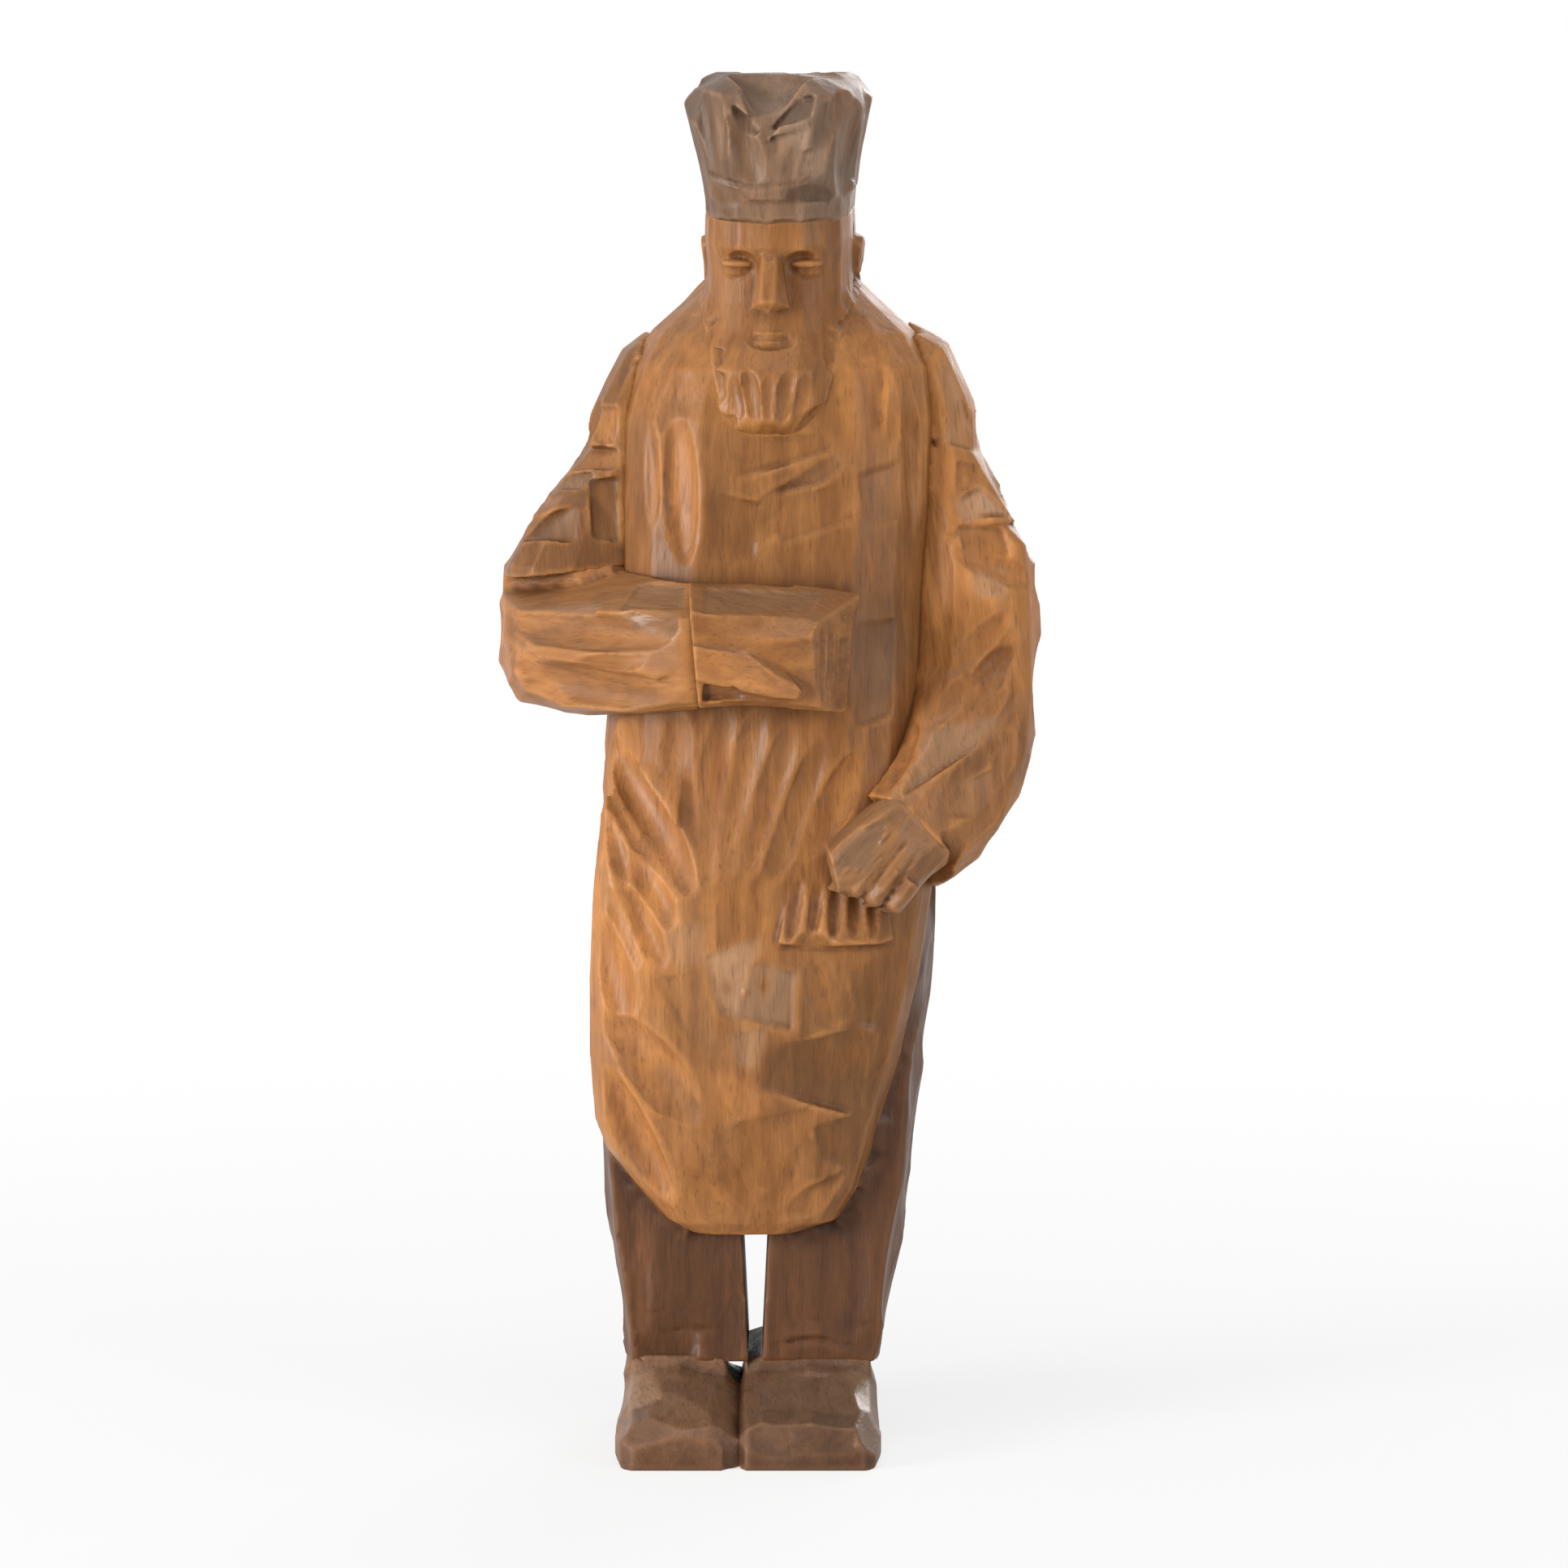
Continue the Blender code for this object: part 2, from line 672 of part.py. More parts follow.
# Shoes: blunt toe, flat sole, top face under the trouser leg
def shoe_mesh(inner, outer):
    side = 1 if outer > inner else -1

    def ring(y, trim_in, trim_out, top, square=3.6):
        left = min(inner + side * trim_in, outer - side * trim_out)
        right = max(inner + side * trim_in, outer - side * trim_out)
        return Level(y, left, right, -2.0, top, square)

    stations = [
        ring(-24.6, 1.4, 2.4, 4.6),
        ring(-23.2, 0.4, 0.8, 6.4),
        ring(-17.0, 0.0, 0.0, 7.8),
        ring(-10.0, 0.0, 0.2, 9.6),
        ring(-6.4, 0.2, 0.4, 11.8),
        ring(6.0, 0.6, 0.8, 12.4),
        ring(15.0, 0.8, 1.6, 12.4),
        ring(18.6, 2.4, 3.4, 11.6),
    ]
    rings = []
    for level in stations:
        cx = (level.left + level.right) / 2
        cz = (level.front + level.back) / 2
        half_x = (level.right - level.left) / 2
        half_z = (level.back - level.front) / 2
        shape = outline(14, level.square)
        rings.append([Vector((cx - u * half_x, level.z, cz + v * half_z)) for u, v in shape])
    bm = loft(rings)
    knife(bm, (0, 0, 0), (0, 0, -1))
    knife(bm, (0, 0, ANKLE_Z - GAP), (0, 0, 1))
    return bm


right_shoe = piece("right_shoe", shoe_mesh(SHOE_SPLIT_X - GAP / 2, -20.6), DARK)
left_shoe = piece("left_shoe", shoe_mesh(SHOE_SPLIT_X + GAP / 2, 15.4), DARK)

# Flutes over the hip, gathers under the fist, planes of the apron and the chest
carve(
    body,
    "front",
    [
        Stroke(-21.1, 94.3, -10.5, 76.2, 4.2, 1.0),
        Stroke(-21.5, 88.8, -12.7, 73.3, 3.8, 1.0),
        Stroke(-21.3, 82.0, -13.4, 67.4, 3.8, 0.9),
        Stroke(-21.5, 72.9, -17.4, 59.7, 4.0, 0.9),
        Stroke(-21.3, 58.3, -9.7, 46.2, 5.4, 0.9),
        Stroke(-20.9, 48.5, -12.3, 33.9, 4.4, 0.8),
        Stroke(-11.0, 98.3, -9.7, 76.2, 3.0, 0.8),
        Stroke(-6.8, 98.9, -8.6, 77.1, 3.0, 0.9),
        Stroke(-2.2, 98.9, -7.5, 77.7, 3.2, 0.9),
        Stroke(2.9, 98.5, -6.2, 77.5, 3.2, 0.9),
        Stroke(6.2, 95.4, -4.6, 76.6, 3.0, 0.8),
        Stroke(9.0, 94.5, -2.0, 76.0, 2.8, 0.7),
        Stroke(4.0, 78.2, 3.2, 70.4, 2.0, 0.7),
        Stroke(6.6, 78.2, 5.9, 70.4, 2.0, 0.7),
        Stroke(9.2, 78.2, 8.7, 70.4, 2.0, 0.7),
        Stroke(11.8, 78.2, 11.4, 70.4, 2.0, 0.7),
        Stroke(14.2, 78.2, 14.0, 70.6, 1.8, 0.6),
        Stroke(-6.8, 68.8, -4.2, 58.4, 5.0, 0.8),
        Stroke(-0.2, 68.3, -0.7, 59.3, 6.0, 0.9),
        Stroke(5.9, 68.3, 9.2, 57.3, 5.6, 0.9),
        Stroke(11.4, 54.1, 1.3, 50.8, 6.4, 0.9),
        Stroke(-7.0, 43.8, -1.1, 32.3, 8.0, 0.8),
        Stroke(5.5, 44.2, 1.1, 32.3, 7.4, 0.8),
        Stroke(-12.1, 138.6, -11.0, 123.5, 5.0, 0.9),
        Stroke(18.5, 144.3, 19.1, 126.6, 3.6, 0.7),
        Stroke(7.3, 131.3, -6.8, 121.4, 6.0, 0.7),
        Stroke(-10.4, 146.0, -14.4, 137.0, 6.0, 0.7),
    ],
)
carve(
    body,
    "back",
    [
        Stroke(1.6, 146.0, 1.2, 96.0, 9.0, 0.8),
        Stroke(-11.6, 138.0, -10.4, 98.0, 8.0, 0.8),
        Stroke(13.6, 138.0, 12.6, 98.0, 8.0, 0.8),
    ],
)

# Cap: the flaps meet in a point in front, and a plane of the crown shows between them
flap_notch = hull(
    [
        (FLAP_POINT.x, FLAP_POINT.y - 0.4, FLAP_POINT.z),
        (FLAP_POINT.x - 4.6, FLAP_POINT.y + 3.4, FLAP_POINT.z + 11.0),
        (FLAP_POINT.x + 8.6, FLAP_POINT.y + 3.4, FLAP_POINT.z + 11.0),
        (FLAP_POINT.x - 0.4, FLAP_POINT.y - 8.0, FLAP_POINT.z),
        (FLAP_POINT.x - 5.0, FLAP_POINT.y - 8.0, FLAP_POINT.z + 11.0),
        (FLAP_POINT.x + 9.0, FLAP_POINT.y - 8.0, FLAP_POINT.z + 11.0),
    ]
)
boolean(hat, cutter("flap_notch", flap_notch), "DIFFERENCE")
carve(
    hat,
    "front",
    [
        Stroke(-8.4, 183.0, -6.6, 172.4, 3.6, 0.7),
        Stroke(-4.4, 180.4, -2.4, 170.8, 3.4, 0.6),
        Stroke(4.6, 178.0, 1.6, 170.8, 4.2, 0.7),
        Stroke(8.2, 182.0, 6.0, 171.6, 3.4, 0.7),
        Stroke(11.6, 182.0, 10.2, 172.6, 3.0, 0.6),
    ],
)
carve(
    hat,
    "back",
    [
        Stroke(-6.6, 183.0, -5.0, 171.0, 5.0, 0.7),
        Stroke(1.4, 183.4, 1.4, 171.0, 5.4, 0.7),
        Stroke(9.6, 183.0, 8.0, 171.0, 5.0, 0.7),
    ],
)

# Sleeve folds
carve(
    left_arm,
    "front",
    [
        Stroke(23.8, 129.6, 33.4, 121.4, 4.4, 1.0),
        Stroke(24.4, 121.8, 35.0, 117.6, 3.6, 0.8),
        Stroke(34.0, 109.6, 21.0, 93.0, 4.6, 0.9),
        Stroke(34.6, 101.6, 22.8, 86.8, 4.6, 0.9),
        Stroke(33.0, 92.4, 25.0, 82.0, 4.0, 0.8),
    ],
)
carve(
    left_arm,
    "left",
    [
        Stroke(14.0, 128.0, 2.0, 119.6, 4.4, 0.9),
        Stroke(15.0, 112.0, -2.0, 97.0, 5.0, 0.9),
        Stroke(14.0, 103.0, -4.0, 91.0, 5.0, 0.9),
    ],
)
carve(
    right_forearm,
    "front",
    [
        Stroke(-33.4, 112.6, -12.0, 112.0, 4.0, 0.7),
        Stroke(-33.0, 106.0, -12.4, 104.4, 4.4, 0.7),
    ],
)

# Fist: hollow under the thumb and cuts between the fingers
carve(
    right_fist,
    "front",
    [
        Stroke(-8.8, 104.2, -2.6, 104.0, 2.4, 1.0),
        Stroke(7.4, 113.4, 7.4, 102.4, 1.4, 0.7),
        Stroke(9.4, 112.6, 9.4, 102.8, 1.3, 0.6),
    ],
)

# Trousers: folds over the shoes and creases behind
carve(
    trousers,
    "front",
    [
        Stroke(-18.6, 17.8, -4.8, 18.4, 2.0, 0.6),
        Stroke(-18.4, 15.4, -4.6, 15.6, 1.8, 0.6),
        Stroke(1.6, 17.6, 14.8, 16.4, 2.0, 0.5),
    ],
)
carve(
    trousers,
    "back",
    [
        Stroke(-11.6, 44.0, -11.0, 16.0, 6.0, 0.8),
        Stroke(9.4, 44.0, 7.6, 16.0, 6.0, 0.8),
    ],
)

# Dowels across the glue faces
dowel_joint("hat_dowel", brim_point, brim_up, DOWEL_R, 7.0, 8.0, (head, hat))
dowel_joint(
    "right_shoulder_dowel", (-20.9, 10.0, 130.0), (-1, 0, 0), THIN_DOWEL_R, 6.0, 3.4,
    (body, right_upper_arm),
)
dowel_joint(
    "left_shoulder_dowel", (23.4, 10.0, 129.0), (1, 0, 0), THIN_DOWEL_R, 6.0, 4.0,
    (body, left_arm),
)
dowel_joint(
    "right_elbow_dowel", elbow_point, elbow_up, DOWEL_R, 6.0, 4.5, (right_forearm, right_upper_arm)
)
dowel_joint(
    "right_wrist_dowel", wrist_point, wrist_along, DOWEL_R, 6.0, 7.0, (right_forearm, right_fist)
)
dowel_joint("left_wrist_dowel", cuff_point + Vector((0.4, -4.4, 0.2)), cuff_along, THIN_DOWEL_R,
            6.0, 5.0, (left_arm, left_hand))
dowel_joint("right_hip_dowel", (-12.0, 9.0, HIP_Z), (0, 0, 1), DOWEL_R, 9.0, 9.0, (trousers, body))
dowel_joint("left_hip_dowel", (10.0, 9.0, HIP_Z), (0, 0, 1), DOWEL_R, 9.0, 9.0, (trousers, body))
dowel_joint("apron_dowel", (-3.0, APRON_BACK_Y, 53.0), (0, -1, 0), DOWEL_R, 8.0, 4.0, (trousers, body))
dowel_joint(
    "right_ankle_dowel", (-11.6, 5.0, ANKLE_Z), (0, 0, 1), DOWEL_R, 7.0, 9.0, (right_shoe, trousers)
)
dowel_joint(
    "left_ankle_dowel", (6.6, 5.0, ANKLE_Z), (0, 0, 1), DOWEL_R, 7.0, 9.0, (left_shoe, trousers)
)
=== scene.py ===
import json
import math

import bmesh
import bpy
import numpy as np
from mathutils import Matrix, Vector
from mathutils.bvhtree import BVHTree
from mathutils.kdtree import KDTree

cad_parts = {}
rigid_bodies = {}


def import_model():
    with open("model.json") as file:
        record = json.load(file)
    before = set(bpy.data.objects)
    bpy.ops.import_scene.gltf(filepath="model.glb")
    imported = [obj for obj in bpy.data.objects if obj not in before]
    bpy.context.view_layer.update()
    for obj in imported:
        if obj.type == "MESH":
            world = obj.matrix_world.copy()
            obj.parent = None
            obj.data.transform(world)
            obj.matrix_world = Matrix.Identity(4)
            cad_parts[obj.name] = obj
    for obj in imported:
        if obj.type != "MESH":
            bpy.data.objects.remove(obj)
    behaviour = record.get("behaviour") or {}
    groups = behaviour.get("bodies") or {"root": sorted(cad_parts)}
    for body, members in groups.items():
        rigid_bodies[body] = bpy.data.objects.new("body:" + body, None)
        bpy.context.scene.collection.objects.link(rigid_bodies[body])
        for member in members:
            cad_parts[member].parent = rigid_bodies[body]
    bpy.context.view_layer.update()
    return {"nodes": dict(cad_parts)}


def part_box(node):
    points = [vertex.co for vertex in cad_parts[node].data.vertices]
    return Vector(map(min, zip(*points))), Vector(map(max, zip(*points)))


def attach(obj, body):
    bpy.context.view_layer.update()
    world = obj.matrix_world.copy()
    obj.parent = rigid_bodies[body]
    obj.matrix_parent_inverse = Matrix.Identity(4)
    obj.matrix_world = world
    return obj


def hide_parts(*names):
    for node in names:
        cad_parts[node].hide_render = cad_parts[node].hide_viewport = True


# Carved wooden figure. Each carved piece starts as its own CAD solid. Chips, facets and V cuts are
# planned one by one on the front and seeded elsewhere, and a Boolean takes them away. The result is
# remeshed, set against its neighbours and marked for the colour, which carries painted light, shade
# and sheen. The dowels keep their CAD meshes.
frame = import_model()
SCENE = bpy.context.scene
MM = 0.001
WELD_DISTANCE = 1e-6
TINY = 1e-12

# Camera
CAMERA_ELEVATION = math.radians(6.0)
CAMERA_DISTANCE = 0.95
CAMERA_TARGET = Vector((0.0022, 0.0, 0.0895))
FRAME_WIDTH = 0.2123
SENSOR_WIDTH = 36.0
CLIP_START = 0.01
CAMERA_AWAY = Vector((0.0, -math.cos(CAMERA_ELEVATION), math.sin(CAMERA_ELEVATION)))
CAMERA_UP = Vector((0.0, math.sin(CAMERA_ELEVATION), math.cos(CAMERA_ELEVATION)))
CAMERA_PLACE = CAMERA_TARGET + CAMERA_AWAY * CAMERA_DISTANCE


def make_camera():
    """Camera at the photograph's angle, whose frame is FRAME_WIDTH wide at the target."""
    data = bpy.data.cameras.new("camera")
    data.sensor_width = SENSOR_WIDTH
    data.lens = SENSOR_WIDTH * CAMERA_DISTANCE / FRAME_WIDTH
    data.clip_start = CLIP_START
    cam = bpy.data.objects.new("camera", data)
    SCENE.collection.objects.link(cam)
    cam.location = CAMERA_PLACE
    cam.rotation_euler = (-CAMERA_AWAY).to_track_quat("-Z", "Y").to_euler()
    SCENE.camera = cam


make_camera()
SCENE.view_settings.view_transform = "Standard"


# Meshes
def unit(v):
    """Vector of length one."""
    v = np.asarray(v, float)
    return v / max(np.linalg.norm(v), TINY)


def welded(node):
    """The node's mesh with its corners joined, ready to cut."""
    mesh = frame["nodes"][node].data.copy()
    bm = bmesh.new()
    bm.from_mesh(mesh)
    bmesh.ops.remove_doubles(bm, verts=bm.verts, dist=WELD_DISTANCE)
    bmesh.ops.triangulate(bm, faces=bm.faces)
    bm.to_mesh(mesh)
    bm.free()
    return mesh


def evaluated(obj):
    """New mesh of an object with its modifiers applied."""
    bpy.context.view_layer.update()
    graph = bpy.context.evaluated_depsgraph_get()
    return bpy.data.meshes.new_from_object(obj.evaluated_get(graph))


def surface(mesh):
    """Corner points in millimetres and triangles of a mesh."""
    points = np.empty(len(mesh.vertices) * 3, np.float32)
    mesh.vertices.foreach_get("co", points)
    mesh.calc_loop_triangles()
    tris = np.empty(len(mesh.loop_triangles) * 3, np.int32)
    mesh.loop_triangles.foreach_get("vertices", tris)
    return points.reshape(-1, 3).astype(float) / MM, tris.reshape(-1, 3)


def search_tree(node):
    """Search tree of one CAD node's surface, in millimetres."""
    points, tris = surface(frame["nodes"][node].data)
    return BVHTree.FromPolygons(points.tolist(), tris.tolist())


def node_box(node):
    """Lowest and highest corner of a CAD node's box, in millimetres."""
    return (np.array(corner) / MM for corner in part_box(node))


def neighbours(node, reach=2.0):
    """Search trees of the nodes whose boxes come near this node's box."""
    low, high = node_box(node)
    near = []
    for other in frame["nodes"]:
        other_low, other_high = node_box(other)
        if other != node and np.all(other_low < high + reach) and np.all(other_high > low - reach):
            near.append(search_tree(other))
    return near


# Carving with knife and gouge
class Carving:
    """One solid worked over with knife and gouge: every cut is a smooth body taken away from it.

    Lengths are in millimetres. A FACING is a limit on the cosine between two directions.
    """

    SAMPLES = 5000  # random places on the surface that stand for it
    HIDE_REACH = 1.5  # a place this near to a neighbour
    HIDE_FACING = -0.3  # that faces it is hidden
    SIDE_FACING = 0.35  # places that count as the same side of the piece
    OPEN_FACING = 0.75  # how level the surface around a seeded chip is
    OPEN_LIFT = 0.2
    TOP_FACING = 0.2  # places that a chip can meet
    TOP_SHARE = 92  # percentile that counts as the highest of them
    CLEARANCE = 4.0  # how far a cutter stands out of the wood
    TONE_SPREAD = 0.4  # random tone of a chip that has none of its own

    LENS_SEGMENTS = 22
    LENS_RINGS = 14
    LENS_RIM = 0.866  # radius of a unit sphere at half its height
    LENS_FLARE = 0.35
    EQUATOR = 0.02
    POLE = 0.999

    FLAT_ROOM = 0.8  # times the spacing
    FLAT_PROBE = 0.7  # times the spacing
    FLAT_TILT = 0.06
    GRAIN_WANDER = 0.2
    END_GRAIN = 0.3
    ACROSS_END_GRAIN = (0.3, 0.8, 0.5)
    DEPTH_SPREAD = (0.7, 1.3)

    CUT_STOPS = (0.06, 0.28, 0.5, 0.72, 0.94)
    CUT_PROBE = 0.4  # times the width
    CUT_PROBE_LEAST = 1.2
    CUT_HALF_LONG = 0.58
    CUT_HALF_WIDE = 0.55

    PROBE = 1.5
    FACET_STEPS = 6
    FACET_FACING = 0.25
    FACET_SPARE = 0.5  # how far the surface may stand over a facet that stays at its depth
    FACET_FLARE = 1.08
    END_SAG = 0.35  # share of the hollow that is left at a facet's ends

    GROOVE_STEP = 1.0
    GROOVE_TAPER = 0.25
    GROOVE_END = 0.05
    GROOVE_SPREAD = 0.15
    BRIM = 0.3
    BRIM_SHARE = 0.2  # times the depth
    RIDGE = 0.8

    SOFTEN = 0.4
    TRIANGLE_LIMIT = 190000
    LOOKS = {"left": 1, "right": -1}  # sides of the figure that a look shows
    FAR = 100.0

    def __init__(self, node, seed):
        self.node = node
        self.rng = np.random.RandomState(seed)
        self.mesh = welded(node)
        points, tris = surface(self.mesh)
        self.bvh = BVHTree.FromPolygons(points.tolist(), tris.tolist())
        a, b, c = (points[tris[:, k]] for k in range(3))
        normals = np.cross(b - a, c - a)
        area = np.linalg.norm(normals, axis=1)
        pick = self.rng.choice(len(tris), self.SAMPLES, p=area / area.sum())
        r, s = np.sqrt(self.rng.rand(self.SAMPLES, 1)), self.rng.rand(self.SAMPLES, 1)
        self.at = a[pick] * (1 - r) + b[pick] * r * (1 - s) + c[pick] * r * s
        self.facing = normals[pick] / area[pick][:, None]
        self.show = np.ones(self.SAMPLES, bool)
        for other in neighbours(node):
            self.hide_against(other)
        self.tree = KDTree(self.SAMPLES)
        for k, point in enumerate(self.at):
            self.tree.insert(point, k)
        self.tree.balance()
        self.lenses = []
        self.floors = []
        self.cutters = []

    def hide_against(self, other):
        """Leaves out the places that lie against a neighbour or in the bore of a dowel."""
        for k in np.nonzero(self.show)[0]:
            place, normal, _, _ = other.find_nearest(Vector(self.at[k]), self.HIDE_REACH)
            if place is not None and self.facing[k] @ np.array(normal) < self.HIDE_FACING:
                self.show[k] = False

    def within(self, point, radius):
        """Numbers of the sampled places near a point."""
        return [k for _, k, _ in self.tree.find_range(point, radius)]

    def around(self, point, radius, normal):
        """Mean place and direction of the surface near a point, on the side that normal shows."""
        ids = [k for k in self.within(point, radius)
               if self.show[k] and self.facing[k] @ normal > self.SIDE_FACING]
        if not ids:
            return np.array(point), unit(normal)
        return self.at[ids].mean(axis=0), unit(self.facing[ids].mean(axis=0))

    def open_place(self, p, n, radius):
        """True where a tool has room: away from the seams, with nothing standing over the place."""
        ids = self.within(p, radius)
        if not self.show[ids].all() or (self.facing[ids] @ n).mean() < self.OPEN_FACING:
            return False
        start = Vector(p + n * self.OPEN_LIFT)
        return self.bvh.ray_cast(start, Vector(n), 3 * self.CLEARANCE)[0] is None

    def highest(self, point, axes, half_long, half_wide):
        """Height above a point of the highest surface inside a chip's outline."""
        ids = [k for k in self.within(point, max(half_long, half_wide))
               if self.facing[k] @ axes[2] > self.TOP_FACING]
        local = (self.at[ids] - np.array(point)) @ axes.T
        inside = local[(local[:, 0] / half_long) ** 2 + (local[:, 1] / half_wide) ** 2 < 1.0]
        return np.percentile(inside[:, 2], self.TOP_SHARE) if len(inside) else 0.0

    def add_cutter(self, bm):
        """Keeps a closed body that carve() takes away."""
        mesh = bpy.data.meshes.new("cutter")
        bmesh.ops.recalc_face_normals(bm, faces=bm.faces)
        bm.to_mesh(mesh)
        bm.free()
        self.cutters.append(mesh)

    def lens(self, point, normal, along, depth, half_long, half_wide, tone=None):
        """Takes a lens-shaped chip: depth at its middle, rising to the surface all round."""
        n = unit(normal)
        t = np.array(along, float)
        t = unit(t - n * t.dot(n))
        axes = np.array([t, np.cross(n, t), n])
        half = np.array([half_long / self.LENS_RIM, half_wide / self.LENS_RIM, 2 * depth])
        rise = self.highest(point, axes, half_long, half_wide) - depth
        middle = np.array(point, float) + n * (depth + max(rise, 0.0))
        bm = bmesh.new()
        bmesh.ops.create_uvsphere(
            bm, u_segments=self.LENS_SEGMENTS, v_segments=self.LENS_RINGS, radius=1.0)
        for vert in bm.verts:
            if self.EQUATOR < vert.co.z < self.POLE:
                vert.co.xy = vert.co.xy.normalized() * (1 + self.LENS_FLARE * vert.co.z)
            if vert.co.z > self.EQUATOR:
                vert.co.z *= self.CLEARANCE / half[2]
        turn = Matrix((axes * half[:, None] * MM).T).to_4x4()
        place = Matrix.Translation(Vector(middle) * MM) @ turn
        bmesh.ops.transform(bm, matrix=place, verts=bm.verts)
        self.add_cutter(bm)
        if tone is None:
            tone = self.rng.uniform(-self.TONE_SPREAD, self.TONE_SPREAD)
        self.lenses.append((middle, axes / half[:, None], tone))

    def flats(self, spacing, depth, long=1.5, wide=0.75, grain=(0, 0, 1), where=None):
        """Covers the surface with seeded overlapping chips along the grain."""
        chosen = []
        for k in range(self.SAMPLES):
            p, n = self.at[k], self.facing[k]
            if not self.show[k] or (where is not None and not where(p, n)):
                continue
            if chosen and np.min(np.sum((self.at[chosen] - p) ** 2, axis=1)) < spacing ** 2:
                continue
            if self.open_place(p, n, spacing * self.FLAT_ROOM):
                chosen.append(k)
        for k in chosen:
            middle, normal = self.around(self.at[k], spacing * self.FLAT_PROBE, self.facing[k])
            n = unit(normal + self.rng.normal(0, self.FLAT_TILT, 3))
            way = unit(grain) + self.rng.normal(0, self.GRAIN_WANDER, 3)
            if np.linalg.norm(np.cross(unit(way), n)) < self.END_GRAIN:
                way = np.cross(n, self.ACROSS_END_GRAIN)
            chip_depth = depth * self.rng.uniform(*self.DEPTH_SPREAD)
            self.lens(middle, n, way, chip_depth, spacing * long, spacing * wide)

    def seen(self, look, u, v):
        """Surface point and normal seen at (u, v): from the camera, or straight from one side."""
        if look == "camera":
            spot = (CAMERA_TARGET + Vector((1, 0, 0)) * u * MM + CAMERA_UP * v * MM) / MM
            start = CAMERA_PLACE / MM
            way = (spot - start).normalized()
        else:
            side = self.LOOKS[look]
            start = Vector((side * self.FAR, u, v))
            way = Vector((-side, 0, 0))
        place, normal, _, _ = self.bvh.ray_cast(start, way)
        return None if place is None else (np.array(place), np.array(normal))

    def seen_along(self, look, points):
        """What is seen at each point of a line, without the points that miss the piece."""
        spots = [self.seen(look, *point) for point in points]
        return [spot for spot in spots if spot is not None]

    def cut(self, start, end, wide, depth, tilt, tone, look):
        """One planned chip from start to end, its floor tilted sideways by some degrees."""
        start, end = np.array(start), np.array(end)
        spots = self.seen_along(look, [start + (end - start) * f for f in self.CUT_STOPS])
        if len(spots) < 3:
            return
        along = spots[-1][0] - spots[0][0]
        middle = np.mean([spot for spot, _ in spots], axis=0)
        probe = max(wide * self.CUT_PROBE, self.CUT_PROBE_LEAST)
        n = unit(np.mean([self.around(spot, probe, normal)[1] for spot, normal in spots], axis=0))
        t = unit(along)
        n = unit(n - t * n.dot(t))
        n = np.array(Matrix.Rotation(math.radians(tilt), 3, Vector(t)) @ Vector(n))
        half_long = np.linalg.norm(along) * self.CUT_HALF_LONG
        self.lens(middle, n, t, depth, half_long, wide * self.CUT_HALF_WIDE, tone)

    def facet(self, corners, depths, hollow, tone, grey):
        """Chip with a plane or hollow floor between four corners, at one depth or four."""
        spots = self.seen_along("camera", corners)
        if len(spots) < 4:
            return
        n = np.array([self.around(spot, self.PROBE, normal)[1] for spot, normal in spots])
        depths = np.broadcast_to(depths, 4)
        floor = np.array([spot for spot, _ in spots]) - n * depths[:, None]
        out = unit(n.mean(axis=0))
        if np.min(n @ out) < self.FACET_FACING:
            return
        along = (floor[2] + floor[3] - floor[0] - floor[1]) / 2
        across = (floor[1] + floor[2] - floor[0] - floor[3]) / 2
        t = unit(along - out * along.dot(out))
        axes = np.array([t, np.cross(out, t), out])
        middle = floor.mean(axis=0)
        top = self.highest(middle, axes, np.linalg.norm(along) / 2, np.linalg.norm(across) / 2)
        rise = max(top - max(depths) - hollow - self.FACET_SPARE, 0.0)
        steps = self.FACET_STEPS
        rows = []
        for i in range(steps + 1):
            f = i / steps
            left = floor[0] + (floor[3] - floor[0]) * f
            right = floor[1] + (floor[2] - floor[1]) * f
            for j in range(steps + 1):
                g = j / steps
                sag = hollow * 4 * g * (1 - g) * min(1.0, 4 * f * (1 - f) + self.END_SAG)
                rows.append(left + (right - left) * g + out * (rise - sag))
        rows = np.array(rows)
        side = steps + 1
        quads = [(i * side + j, i * side + j + 1, (i + 1) * side + j + 1, (i + 1) * side + j)
                 for i in range(steps) for j in range(steps)]
        self.floors.append((rows, quads, tone, grey))
        self.facet_cutter(rows, quads, middle, out)

    def facet_cutter(self, rows, quads, middle, out):
        """Closed body between a facet's floor and a wider, level lid outside the wood."""
        lid = middle + (rows - middle) * self.FACET_FLARE
        top = np.max((rows - middle) @ out) + self.CLEARANCE
        lid += out * (top - (lid - middle) @ out)[:, None]
        steps = self.FACET_STEPS
        side = steps + 1
        last = steps * side
        rim = [*range(side), *range(side + steps, last + side, side),
               *range(last + steps - 1, last - 1, -1), *range(last - side, 0, -side)]
        bm = bmesh.new()
        low = [bm.verts.new(Vector(p) * MM) for p in rows]
        high = {k: bm.verts.new(Vector(lid[k]) * MM) for k in rim}
        for quad in quads:
            bm.faces.new([low[k] for k in quad])
        bm.faces.new([high[k] for k in rim])
        for a, b in zip(rim, rim[1:] + rim[:1]):
            bm.faces.new((low[a], low[b], high[b], high[a]))
        self.add_cutter(bm)

